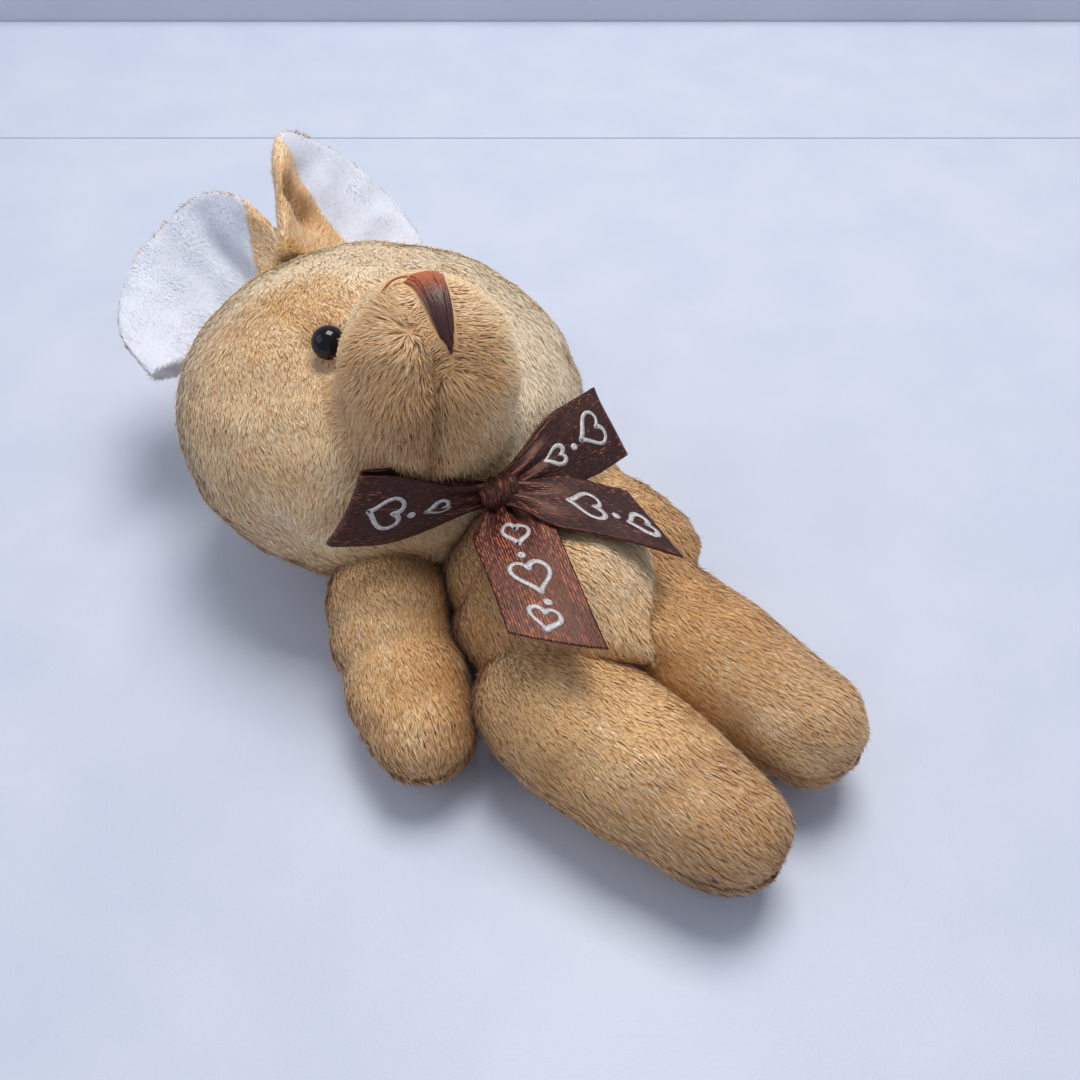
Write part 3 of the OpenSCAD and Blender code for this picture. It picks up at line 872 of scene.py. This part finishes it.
def make_eyes(thread):
    glass = principled("eye_gloss", lin(12, 12, 15), 0.07, **{"Specular IOR Level": 0.35})
    noise_color(glass, 500, [(0.3, lin(8, 8, 11)), (0.7, lin(16, 16, 20))])
    for s in ("left", "right"):
        dress("eye_" + s, glass)
    nylon = principled("washer_nylon", lin(226, 224, 214), 0.5, **{"Subsurface Weight": 0.15})
    noise_color(nylon, 400, [(0.3, lin(216, 214, 204)), (0.7, lin(232, 230, 222))], bump=0.2)
    dress("eye_washers", nylon, smooth=False)
    paths = []
    r = np.random.default_rng(41)
    for s, sx in (("left", 1), ("right", -1)):
        lo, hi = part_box("eye_" + s)
        c = (np.array(lo) + np.array(hi)) / 2
        ch = HEAD.into(c[None])[0]
        for k in range(4):
            a = math.radians(-105 + 22 * k + r.uniform(-5, 5))
            t = np.linspace(0, 1, 10)
            rad = 2.15 + 1.0 * t
            x = ch[0] + sx * rad * np.cos(a) * 0.6
            y = ch[1] + rad * np.sin(a)
            z = HEAD_R[2] * np.sqrt(np.clip(1 - (x / HEAD_R[0]) ** 2 - (y / HEAD_R[1]) ** 2, 0, 1))
            z = z + 0.5 * np.sin(math.pi * t) + 0.25
            paths.append(HEAD.out(np.stack([x, y, z], -1)))
    piece(tubes("eye_threads", paths, 0.11 * MM, [thread]), "head", "nose_thread")


# ---------------------------------------------------------------- torso and limbs
def make_torso():
    nodes = ["torso_front", "torso_back", "torso_filling"]
    skin = outer_skin("torso_plush", nodes, 0.6 * MM, 0.55 * MM, 16)
    p = coords(skin)
    relax(skin, smooth01(-p[:, 1] / MM, 9, 16) * smooth01(p[:, 2] / MM, 9, 13), 60)
    p = coords(skin)
    p[:, 2] -= 2.6 * MM * smooth01(-p[:, 1] / MM, 8, 19) * smooth01(p[:, 2] / MM, 11, 17)
    set_coords(skin, p)
    stuff(skin, lambda p: seam_line(p[:, 2] / MM, 12.6, 0.6), cap=0.8 * MM)
    p, n = coords(skin), normals(skin)
    set_coords(skin, p - n * ((0.15 * waves(p, 9 * MM, 51) + 0.1 * waves(p, 5 * MM, 52)) * MM)[:, None])
    press_in(skin, [(c, r + 0.2 * MM) for c, r in SHOULDER.values()])
    settle(skin)
    ground_tone(skin, torso_pile)
    piece(skin, "torso", "plush", *nodes, fill=0.8)
    grow_pile("torso_pile", skin, "torso", torso_pile, 20.0, 201, mask=off_shoulders)


def make_limb(kind, side, place, z0, reach, seed, gold_at, shade):
    name = "%s_%s" % (kind, side)
    lumps = [SHOULDER[side], (place.out((0, 0.6, 1.6)), 7.7 * MM)] if kind == "arm" else [HIP[side]]
    nodes = [name + "_front", name + "_back", name + "_filling"]
    skin = outer_skin(name + "_plush", nodes, 0.55 * MM, 0.1 * MM, 10, lumps)
    fields = limb_pile(place, z0, reach, seed, gold_at, shade)
    stuff(skin, lambda p: seam_line(p[:, 2] / MM, z0, 0.6), cap=0.8 * MM)
    p, n = coords(skin), normals(skin)
    dent = 0.14 * waves(p, 8 * MM, seed + 30) + 0.1 * waves(p, 5 * MM, seed + 31) + 0.25 * seam_line(p[:, 2] / MM, z0, 0.45)
    set_coords(skin, p - n * (dent * MM)[:, None])
    settle(skin)
    ground_tone(skin, fields)
    piece(skin, name, "plush", *nodes, fill=0.8)
    grow_pile(name + "_pile", skin, name, fields, 20.0, seed + 5)


# ---------------------------------------------------------------- ears
EAR_W, EAR_H, EAR_CUP = 13.5, 20.5, 17.5
OFF_HEAD = 0.97  # share of the head's radius inside which an ear grows no pile


def ear_inner(side, x):
    """Distance towards the other ear."""
    return x if side == "right" else -x


def ear_power(side, x):
    """The outline's exponent: fuller on the side towards the other ear."""
    return np.where(ear_inner(side, x) > 0, 2 / 0.72, 2.0)


def ear_rho(side, x, y):
    e = ear_power(side, x)
    return ((np.abs(x) / EAR_W) ** e + (np.maximum(y, 0) / EAR_H) ** e) ** (1 / e)


def ear_rim(side, x, y):
    """How far inside the ear's outline a point is."""
    return np.where(y > 0, (1 - ear_rho(side, x, y)) * 15.0, EAR_W - np.abs(x))


def ear_fold(side, x, y):
    """Above 0 where the beige back is folded over the ear's front, towards the other ear."""
    if side == "right":
        return ear_inner(side, x) - 9.2 - 0.72 * (y - 0.6)
    return ear_inner(side, x) - 0.7 - 1.08 * (y - 4.5)


def ear_white(side, q, n):
    x, y = q[:, 0], q[:, 1]
    toward = np.stack([-x / EAR_CUP, 0 * x, np.sqrt(np.clip(1 - (x / EAR_CUP) ** 2, 0, 1))], 1)
    inner = smooth01(ear_inner(side, x), 4, 9)
    return ((n * toward).sum(1) > -0.45 + 0.6 * inner) & (ear_fold(side, x, y) < 0)


def make_ear(side):
    place, body = EAR[side], "ear_" + side
    nu, nv = 61, 44
    u, t = np.meshgrid(np.linspace(-1, 1, nu), np.linspace(0, 1, nv), indexing="ij")
    x = EAR_W * np.sin(u * math.pi / 2)
    e = ear_power(side, x)
    top = EAR_H * np.clip(1 - (np.abs(x) / EAR_W) ** e, 0, 1) ** (1 / e)
    y = -4 + (top + 4) * t
    d = ear_rim(side, x, y)
    edge = np.sqrt(np.clip(1 - (1 - np.clip(d / 1.5, 0, 1)) ** 2, 0, 1))
    edge = np.where(t >= 1, 0, np.where(np.abs(u) >= 1, 0, edge))
    inner = ear_inner(side, x)
    flat = np.stack([x, y, 0 * x], -1).reshape(-1, 3) * MM
    lump = waves(flat, 7 * MM, 61 + len(side)).reshape(x.shape)
    if side == "right":
        fold = 1.0 * np.exp(-(((x - 6.0) / 1.6) ** 2)) * smooth01(-y, -15, -4)
    else:
        fold = 1.5 * np.exp(-(((y - 4.2) / 2.2) ** 2)) * smooth01(inner, 2.0, 6.0)
    puff = np.clip(d / 7, 0, 1)
    seam = 0.28 * np.exp(-((ear_fold(side, x, y) / 0.4) ** 2)) * (inner > 0)
    front = edge * (0.75 + 0.55 * puff + 0.22 * lump - fold - seam)
    back = edge * (0.95 + 0.7 * puff + 0.15 * lump)
    wave = 0.5 * np.sin(y / 4.5 + 1.0) * np.clip(np.abs(x) / EAR_W, 0, 1) ** 2
    arc = np.arcsin(np.clip(x / EAR_CUP, -1, 1))
    nx, nz = -np.sin(arc), np.cos(arc)
    zc = EAR_CUP - EAR_CUP * np.cos(arc) + 0.2 + wave

    def layer(off):
        return np.stack([x + nx * off, y, zc + nz * off], -1)
    f, b = layer(front), layer(-back)
    idx = np.arange(nu * nv).reshape(nu, nv)
    quads = grid_faces(idx)
    lower = np.stack([idx[:-1, 0], idx[:-1, 0] + nu * nv, idx[1:, 0] + nu * nv, idx[1:, 0]], -1)
    verts = place.out(np.concatenate([f.reshape(-1, 3), b.reshape(-1, 3)]))
    ob = mesh_object(body + "_plush", verts, [np.concatenate([quads, quads[:, ::-1] + nu * nv, lower])], [GROUND, LINING])
    add_modifier(ob, "WELD", merge_threshold=1e-6)
    bake_modifiers(ob)
    add_modifier(ob, "SUBSURF", levels=1)
    bake_modifiers(ob)
    me = ob.data
    middle, facing = (read(me.polygons, k).astype(float) for k in ("center", "normal"))
    white = ear_white(side, place.into(middle), place.turn_in(facing))
    me.polygons.foreach_set("material_index", white.astype(np.int32))
    me.polygons.foreach_set("use_smooth", np.ones(len(me.polygons), bool))
    root, tip = place.out((0, -1.0, 0)), place.out((0, 3.5, 0))

    def bend(o):
        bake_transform(o)

    def cloth_mask(want_white):
        return lambda p, n: ((ear_white(side, place.into(p), place.turn_in(n)) == want_white)
                             & (np.linalg.norm(HEAD.into(p) / HEAD_R, axis=1) > OFF_HEAD))

    def back_fields(p, n):
        q = place.into(p)
        k = len(p)
        nap = place.turn(np.stack([0.2 * waves(p, 6 * MM, 71), np.ones(k), np.zeros(k)], 1))
        # Painted highlight: the back's pile lighter near the ear's rim.
        near = np.exp(-((ear_rim(side, q[:, 0], q[:, 1]) / 1.2) ** 2))
        level = 0.66 + 0.12 * waves(p, 6 * MM, 72) + 0.1 * near
        if side == "left":
            # Painted shade in the valley of the fold near the left ear's base.
            crease_shade = np.exp(-(((q[:, 1] - 4.0) / 2.4) ** 2)) * smooth01(-q[:, 0], 1.5, 4.0)
            level -= 0.45 * crease_shade * (place.turn_in(n)[:, 2] > 0)
        return nap, np.full(k, 1.3), np.full(k, np.radians(12)), level, np.full(k, 0.45), np.full(k, 0.6)

    def white_fields(p, n):
        k = len(p)
        nap = place.turn(np.stack([0.5 * waves(p, 5 * MM, 73), np.ones(k), np.zeros(k)], 1))
        level = 0.5 + 0.3 * waves(p, 6 * MM, 74)
        return nap, np.full(k, 0.7), np.full(k, np.radians(16)), level, np.zeros(k), np.full(k, 0.8)

    def white_tones(k, seed, level, gold):
        r = np.random.default_rng(seed)
        x = level + r.normal(0, 0.2, k)
        return np.stack([np.zeros(k, int), np.where(x > 0.5, 1, 2)], 1)

    ground_tone(ob, back_fields)
    bend(ob)
    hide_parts("ear_%s_back" % side, "ear_%s_lining" % side)
    grow_pile(body + "_pile", ob, body, back_fields, 20.0, 301 + len(side), mask=cloth_mask(False), move=bend)
    grow_pile(body + "_lining_pile", ob, body, white_fields, 22.0, 331 + len(side), mats=WHITE_FUR,
              tones=white_tones, mask=cloth_mask(True), clump=0.1, move=bend)


# ---------------------------------------------------------------- ribbon
RIBBON_T, RIBBON_HALF = 0.26, 5.0
UNDER_SIDE = 3.0  # added to the shine kept with a point on a ribbon's under side


def satin():
    """Woven satin with painted sheen. The cloth attribute holds millimetres along and across, and the share of painted
    shine, plus 3 on the under side.
    """
    m = principled("ribbon_satin", lin(58, 38, 38), 0.38, **{
        "Anisotropic": 0.6, "Sheen Weight": 0.12, "Sheen Roughness": 0.35, "Sheen Tint": lin(190, 110, 85),
        "Specular IOR Level": 0.4, "Specular Tint": lin(255, 196, 170)})
    sh = Shader(m)
    cloth = sh.node("Attribute", "Vector", {}, attribute_name="cloth")

    def streaks(along, across, detail, off):
        where = sh.node("Mapping", "Vector", {"Vector": cloth, "Scale": (along, across, 1), "Location": (off, off, 0)})
        return sh.noise(where, 1.0, detail)

    shine = sh.math("MODULO", sh.node("SeparateXYZ", "Z", {"Vector": cloth}), UNDER_SIDE)
    rows = sh.node("TexWave", "Fac", {"Scale": 0.95, "Distortion": 1.2, "Detail": 1.0, "Detail Scale": 1.5, "Vector": cloth},
                   bands_direction="Y")
    tone = sh.math("MULTIPLY_ADD", rows, 0.26, streaks(1.2, 3.4, 1.5, 13.0))
    dark = sh.ramp(tone, [(0.42, lin(36, 25, 28)), (0.82, lin(68, 45, 44))])
    # Where the painted shine is set, the colour turns to a lighter orange-brown copy of the satin: painted sheen.
    painted_sheen = sh.ramp(tone, [(0.42, lin(40, 22, 24)), (0.82, lin(92, 48, 40))])
    lit = sh.math("MULTIPLY_ADD", shine, 0.11, sh.math("MULTIPLY_ADD", streaks(0.14, 0.28, 2.0, 5.0), 0.45, tone))
    # Bright orange dashes where painted shine and streaks run high: painted glints.
    glint = sh.node("MapRange", "Result", {"From Min": 1.04, "From Max": 1.22, "Value": lit})
    sh.put(sh.inputs["Base Color"], sh.mix(glint, sh.mix(shine, dark, painted_sheen), lin(178, 100, 74)))
    sh.put(sh.inputs["Normal"], sh.bump(tone, 0.5, 0.0001))
    return m


SATIN = satin()
SILVER = noise_color(principled("ribbon_print", lin(200, 196, 196), 0.5, **{"Metallic": 0.25}),
                     3000, [(0.35, lin(170, 164, 164)), (0.6, lin(208, 204, 204))], bump=0.4, bump_scale=6000)


def surface_normal(f, s, v, ds=0.02, dv=0.01):
    a = f(s + ds, v) - f(s - ds, v)
    b = f(s, np.clip(v + dv, -1, 1)) - f(s, np.clip(v - dv, -1, 1))
    return unit(np.cross(a, b))


def band(f, s_range, ns, nv, ring):
    """A strip of cloth with real thickness: f(s, v) gives points of a Place, s along and v from -1 to 1 across."""
    s1 = np.linspace(s_range[0], s_range[1], ns, endpoint=not ring)
    s, v = np.meshgrid(s1, np.linspace(-1, 1, nv), indexing="ij")
    mid = f(s, v)
    n = surface_normal(f, s, v)
    verts = np.concatenate([(mid + n * RIBBON_T / 2).reshape(-1, 3), (mid - n * RIBBON_T / 2).reshape(-1, 3)])
    k = ns * nv
    idx = np.arange(k).reshape(ns, nv)
    rows = np.vstack([idx, idx[:1]]) if ring else idx
    top = grid_faces(rows)

    def rim(a, b):
        return np.stack([a, a + k, b + k, b], -1)
    quads = [top, top[:, ::-1] + k, rim(rows[:-1, 0], rows[1:, 0]), rim(rows[1:, -1], rows[:-1, -1])]
    if not ring:
        quads += [rim(idx[0, 1:], idx[0, :-1]), rim(idx[-1, :-1], idx[-1, 1:])]
    cloth = np.stack([s, v * RIBBON_HALF, 0 * s], -1).reshape(-1, 3)
    return verts, np.concatenate(quads), np.concatenate([cloth, cloth + (0, 0, UNDER_SIDE)])


def cloth_piece(name, place, f, s_range, ns, nv, ring=False, shine=None):
    verts, quads, cloth = band(f, s_range, ns, nv, ring)
    # Painted glints along both edges of the ribbon, added to its shine.
    painted_edge_glint = 0.5 * smooth01(np.abs(cloth[:, 1]), RIBBON_HALF - 0.5, RIBBON_HALF - 0.1)
    cloth[:, 2] += np.clip(np.maximum(painted_edge_glint, shine(cloth[:, 0], cloth[:, 1]) if shine else 0), 0, 0.99)
    ob = mesh_object(name, place.out(verts), [quads], [SATIN])
    attribute(ob, "cloth", cloth)
    return ob


def heart(height, width, n=56):
    t = np.linspace(0, 2 * math.pi, n, endpoint=False)
    x = 16 * np.sin(t) ** 3
    y = 13 * np.cos(t) - 5 * np.cos(2 * t) - 2 * np.cos(3 * t) - np.cos(4 * t)
    return np.stack([(y + 2.5) / 29 * height, x / 32 * width], 1)


def print_marks(name, place, f, marks, body):
    """Silver marks on a ribbon. Each mark is (kind, s, v in mm, size, turn in degrees)."""
    verts, quads, base = [], [], 0
    r = np.random.default_rng(len(name))
    for kind, s0, v0, size, turn in marks:
        if kind == "heart":
            n = 56
            c = heart(size, size * 0.98, n)
            tang = unit(np.roll(c, -1, 0) - np.roll(c, 1, 0))
            w = 0.30 * (1 + 0.18 * np.sin(np.linspace(0, 12, n) + r.uniform(0, 6)))
            side = np.stack([tang[:, 1], -tang[:, 0]], 1) * w[:, None]
            inner, outer = c - side, c + side
        else:
            n = 22
            t = np.linspace(0, 2 * math.pi, n, endpoint=False)
            outer = np.stack([np.cos(t), np.sin(t)], 1) * size / 2
            inner = outer * 0.02
        a = math.radians(turn)
        m = np.array(((math.cos(a), -math.sin(a)), (math.sin(a), math.cos(a))))
        for lift in (0.02, 0.06):
            for ring in (inner, outer):
                q = ring @ m.T + (s0, v0)
                s, v = q[:, 0], q[:, 1] / RIBBON_HALF
                p = f(s, np.clip(v, -0.98, 0.98))
                verts.append(p + surface_normal(f, s, np.clip(v, -0.97, 0.97)) * (RIBBON_T / 2 + lift))
        i = np.arange(n)
        j = (i + 1) % n
        lo_in, lo_out, hi_in, hi_out = (base + k * n for k in range(4))
        for a, b in ((hi_in, hi_out), (lo_out, lo_in), (hi_out, lo_out), (lo_in, hi_in)):
            quads.append(np.stack([a + i, b + i, b + j, a + j], -1))
        base += 4 * n
    return piece(mesh_object(name, place.out(np.vstack(verts)), [np.concatenate(quads)], [SILVER]), body, "ribbon")


def loop_form(length, wide, bulge, seed, slant, broad):
    """Out along the front of a bow loop, round its fold and back to the knot."""
    x0, r = 1.6, 0.75
    out = length - r - x0

    def f(s, v):
        front = s <= out
        turn = np.clip((s - out) / r, 0, math.pi)
        back = s > out + math.pi * r
        x = np.where(front, x0 + s, np.where(back, x0 + out - (s - out - math.pi * r), x0 + out + r * np.sin(turn)))
        u = np.clip((x - x0) / out, 0, 1)
        h = r * (0.45 + 0.55 * u)
        zf = h + bulge * np.sin(math.pi * u) ** 1.3
        zb = -h - 0.55 * bulge * np.sin(math.pi * u) ** 1.3
        z = np.where(front, zf, np.where(back, zb, r * np.cos(turn)))
        w = wide[0] + (broad - wide[0]) * smooth01(x, 2.0, wide[1])
        gather = (1 - smooth01(x, 2.5, 12)) * np.sign(z + 1e-9)
        z = z + gather * 0.42 * np.cos(v * 8.5 + seed)
        z = z + 0.35 * np.sin(v * 2.2 + seed) * smooth01(u, 0.2, 0.9) * np.where(np.abs(z) > 0.4, 1, 0.6)
        y = w * v + 0.35 * np.sin(2.6 * u + seed) * u
        x = x - 0.5 * (1 - v * v) * smooth01(u, 0.75, 1.0) + slant * v * smooth01(u, 0.1, 1.0)
        return np.stack([x, y, z], -1)
    return f, 2 * out + math.pi * r, out + r


def tail_form(end_low, end_high, wide, arch, seed):
    """A ribbon tail from the knot to its slanted end; s is millimetres from the knot along the middle."""
    x0 = 1.4

    def f(s, v):
        mid = (end_low + end_high) / 2
        u = s / (mid - x0)
        end = end_low + (end_high - end_low) * (v + 1) / 2
        x = x0 + (end - x0) * u
        w = wide[0] + (RIBBON_HALF - wide[0]) * smooth01(x, 1.5, wide[1])
        z = arch * np.sin(math.pi * np.clip(u, 0, 1)) + (1 - smooth01(x, 2, 10)) * 0.42 * np.cos(v * 8.0 + seed)
        z = z + 0.30 * np.sin(x / 4.2 + seed) * v + 0.22 * np.abs(v) ** 3
        return np.stack([x, w * v, z], -1)
    return f, (end_low + end_high) / 2 - x0


def make_bow():
    knot = Place(KNOT, np.eye(3))
    right = knot.inner((0, 0, 0), rot(0, 0, 152) @ rot(0, -5, 0) @ rot(-78, 0, 0))
    left = knot.inner((0, 0, 0), rot(0, 0, 5) @ rot(0, 3, 0) @ rot(41, 0, 0))
    front = knot.inner((0, 0, -0.5), rot(0, 0, -113) @ rot(0, 3, 0))
    side = knot.inner((0, 0, 0.45), rot(0, 0, -50) @ rot(0, 8, 0) @ rot(-5, 0, 0))

    for name, place, length, bulge, seed, slant, broad, marks in (
            ("right", right, 19.0, 0.9, 0.6, 2.3, 4.6,
             [("heart", 12.8, 0.0, 4.4, 175), ("dot", 9.3, 0.6, 1.0, 0), ("heart", 6.2, 0.2, 2.9, 190)]),
            ("left", left, 21.0, 0.8, 2.1, 0.6, 5.0,
             [("heart", 14.6, 0.3, 4.6, 8), ("dot", 10.9, -0.3, 1.0, 0), ("heart", 7.6, -0.1, 3.1, -10)])):
        f, total, fold = loop_form(length, (1.9, 15.0), bulge, seed, slant, broad)
        # Painted glints at each loop's fold and near the knot.
        ob = cloth_piece("bow_loop_%s_satin" % name, place, f, (0, total), 110, 33,
                         shine=lambda s, v: 0.35 * np.exp(-(((s - fold) / 1.6) ** 2)) + 0.35 * np.exp(-((s / 2.5) ** 2)))
        piece(ob, "loop_" + name, "ribbon", "bow_loop_" + name)
        marked = print_marks("bow_loop_%s_print" % name, place, f, marks, "loop_" + name)

    for name, place, ends, wide, arch, seed, marks in (
            ("front", front, (20.3, 25.7), (2.4, 6.5), 0.5, 0.3,
             [("heart", 5.6, 0.2, 3.2, 172), ("dot", 8.9, -0.2, 1.0, 0), ("heart", 12.4, 0.1, 4.6, 186),
              ("dot", 16.0, 0.6, 1.0, 0), ("heart", 18.6, -0.4, 3.3, 168)]),
            ("side", side, (23.7, 16.0), (2.6, 9.0), 0.4, 1.4,
             [("heart", 9.6, 0.3, 4.4, -4), ("dot", 13.2, -0.6, 1.0, 0), ("heart", 15.9, -1.0, 3.2, 10)])):
        f, total = tail_form(ends[0], ends[1], wide, arch, seed)
        # Painted sheen: strong over the front tail, faint on the side tail, with less of it in a patch near each tail's
        # end.
        lit = 0.8 if name == "front" else 0.05
        ob = cloth_piece("bow_tail_%s_satin" % name, place, f, (0, total), 90, 31,
                         shine=lambda s, v: lit * (1 - 0.8 * np.exp(-(((s - total + 3.2) / 2.2) ** 2) - (((v - 2.2) / 1.3) ** 2))))
        piece(ob, "tail_" + name, "ribbon", "bow_tail_" + name)
        marked = print_marks("bow_tail_%s_print" % name, place, f, marks, "tail_" + name)

    def wrap(s, v):
        a = s / 12.0 * 2 * math.pi
        pleat = 0.17 * np.cos(v * 9 + 0.8 * np.sin(a))
        w = 2.3 + 0.35 * np.cos(a)
        rad_x, rad_z = 2.0 + pleat - 0.55 * v ** 2, 1.85 + pleat - 0.5 * v ** 2
        return np.stack([w * v + 0.25 * np.sin(a), rad_x * np.sin(a), rad_z * np.cos(a)], -1)
    kp = knot.inner((0, 0, 0.2), rot(0, 0, -8))
    # Painted sheen over the whole knot.
    ob = cloth_piece("bow_knot_satin", kp, wrap, (0, 12.0), 80, 37, ring=True, shine=lambda s, v: 0.35 + 0 * s)
    x = np.linspace(-2.2, 2.2, 12)
    plug = tubes("bow_knot_core", [kp.out(np.stack([x, 0 * x, 0 * x], -1))],
                 lambda k, t: (1.25 + 0.25 * np.sin(math.pi * t)) * MM, [SATIN], sides=20)
    attribute(plug, "cloth", coords(plug) / MM * 0.2)
    piece(ob, "torso", "ribbon", "bow_knot")
    piece(plug, "torso", "ribbon")

    lo, hi = (np.array(v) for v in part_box("neck_ribbon"))
    c = (lo + hi) / 2
    neck = Place(c, np.eye(3))
    radius = (hi[0] - lo[0]) / 2 / MM - 0.8
    circ = 2 * math.pi * radius

    def tie(s, v):
        a = s / circ * 2 * math.pi
        pleat = 0.24 * np.cos(v * 10.5 + 0.7 * np.sin(3 * a)) + 0.12 * np.sin(5 * a + 2 * v)
        rr = radius + pleat
        return np.stack([rr * np.sin(a), 2.35 * v + 0.35 * np.sin(2 * a + 1), rr * np.cos(a)], -1)
    ob = cloth_piece("neck_ribbon_satin", neck, tie, (0, circ), 200, 41, ring=True)
    piece(ob, "torso", "ribbon", "neck_ribbon")


# ---------------------------------------------------------------- tape and metal
def make_tape():
    m = principled("tape_weave", lin(176, 132, 84), 0.75, **{"Sheen Weight": 0.4, "Sheen Roughness": 0.4})
    noise_color(m, 1800, [(0.3, lin(140, 100, 62)), (0.55, lin(178, 134, 86)), (0.8, lin(204, 164, 112))],
                bump=0.5, bump_scale=7000)
    across = jaxis("tape_lift")
    start = jpos("tape_lift")
    end = jpos("jump_ring_lift")
    along = unit(end - start)
    up = np.cross(across, along)
    place = Place(start, np.stack([across, along, up], 1))
    reach = np.linalg.norm(end - start) / MM
    paths = []
    k = 13
    for i in range(k):
        x = -1.42 + 2.84 * i / (k - 1)
        t = np.linspace(0, 1, 20)
        a = np.linspace(math.pi / 2, -math.pi / 2, 18)
        r0, r1 = 0.95, 1.62
        y = np.concatenate([-1.8 + (reach + 1.8) * t, reach + r1 * np.cos(a[1:-1]), reach - (reach + 1.8) * t])
        z = np.concatenate([r0 + (r1 - r0) * t, r1 * np.sin(a[1:-1]), -r1 + (r1 - r0) * t])
        weave = 0.05 * np.sin(np.arange(len(y)) * 1.9 + i * math.pi)
        paths.append(place.out(np.stack([np.full(len(y), x), y + weave, z + weave], -1)))
    ob = tubes("hanging_tape_woven", paths, 0.17 * MM, [m], sides=6)
    piece(ob, "tape", "tape", "hanging_tape")


def make_metal():
    m = principled("nickel_plate", lin(206, 205, 200), 0.2, **{"Metallic": 1.0})
    noise_color(m, 700, [(0.3, lin(190, 189, 184)), (0.7, lin(214, 213, 208))], bump=0.08, bump_scale=2500)
    for name in ("jump_ring", "chain_link"):
        dress(name, m)
    mount = next(k for k in frame["record"]["mounts"] if k["name"] == "key_ring")
    z = unit(np.array(mount["axis"], float))
    x = jaxis("key_ring_lift")
    place = Place(mount["pos_m"], np.stack([x, np.cross(z, x), z], 1))
    turns, per = 2.05, 96
    n = int(turns * per)
    a = np.linspace(0, turns * 2 * math.pi, n) + 0.9
    rise = np.interp(np.linspace(0, turns, n), [0, 0.82, 1.12, turns], [-0.47, -0.47, 0.47, 0.47])
    w, h, c = 0.86, 0.41, 0.2
    prof = []
    for sx, sz, a0 in ((1, 1, 0), (-1, 1, 90), (-1, -1, 180), (1, -1, 270)):
        for k in range(4):
            t = math.radians(a0 + 30 * k)
            prof.append((sx * (w - c) + c * math.cos(t), sz * (h - c) + c * math.sin(t)))
    prof = np.array(prof)
    rad = 10.1
    ends = np.minimum(1, np.minimum(np.arange(n), np.arange(n)[::-1]) / 3.0)[:, None] ** 0.5
    ends = 0.35 + 0.65 * ends
    r = rad + prof[None, :, 0] * ends
    zz = rise[:, None] + prof[None, :, 1] * ends
    verts = np.stack([r * np.cos(a)[:, None], r * np.sin(a)[:, None], zz], -1).reshape(-1, 3)
    k = len(prof)
    i = np.arange(n - 1)[:, None] * k
    j = np.arange(k)[None]
    jn = (np.arange(k) + 1)[None] % k
    quads = np.stack([i + j, i + k + j, i + k + jn, i + jn], -1).reshape(-1, 4)
    caps = np.array([np.arange(k), (np.arange(k) + (n - 1) * k)[::-1]])
    ob = mesh_object("split_ring_coil", place.out(verts), [quads, caps], [m])
    piece(ob, "key_ring", "metal", "split_ring")


# ---------------------------------------------------------------- the whole bear
make_head()
thread = make_nose()
make_eyes(thread)
make_torso()
make_limb("arm", "right", ARM["right"], 7.5, 20, 401,
          lambda q, t: 0.45 - 0.25 * smooth01(t, 0.3, 0.8), lambda q, t: 0.22 * (1 - smooth01(t, 0.2, 0.7)))
make_limb("arm", "left", ARM["left"], 7.5, 20, 451,
          lambda q, t: 0.15 + 0 * t, lambda q, t: 0.1 + 0 * t)
make_limb("leg", "right", LEG["right"], 9.0, 28, 501,
          lambda q, t: 0.66 * (1 - smooth01(t, 0.25, 0.75)) - 0.1,
          lambda q, t: 0.24 * (1 - smooth01(t, 0.3, 0.7)) - 0.14 * smooth01(t, 0.5, 0.9))
make_limb("leg", "left", LEG["left"], 9.0, 28, 551,
          lambda q, t: 0.62 * (1 - smooth01(t, 0.2, 0.65)) - 0.12, lambda q, t: -0.02 + 0.06 * smooth01(t, 0.5, 1.0))
make_ear("left")
make_ear("right")
make_bow()
make_tape()
make_metal()
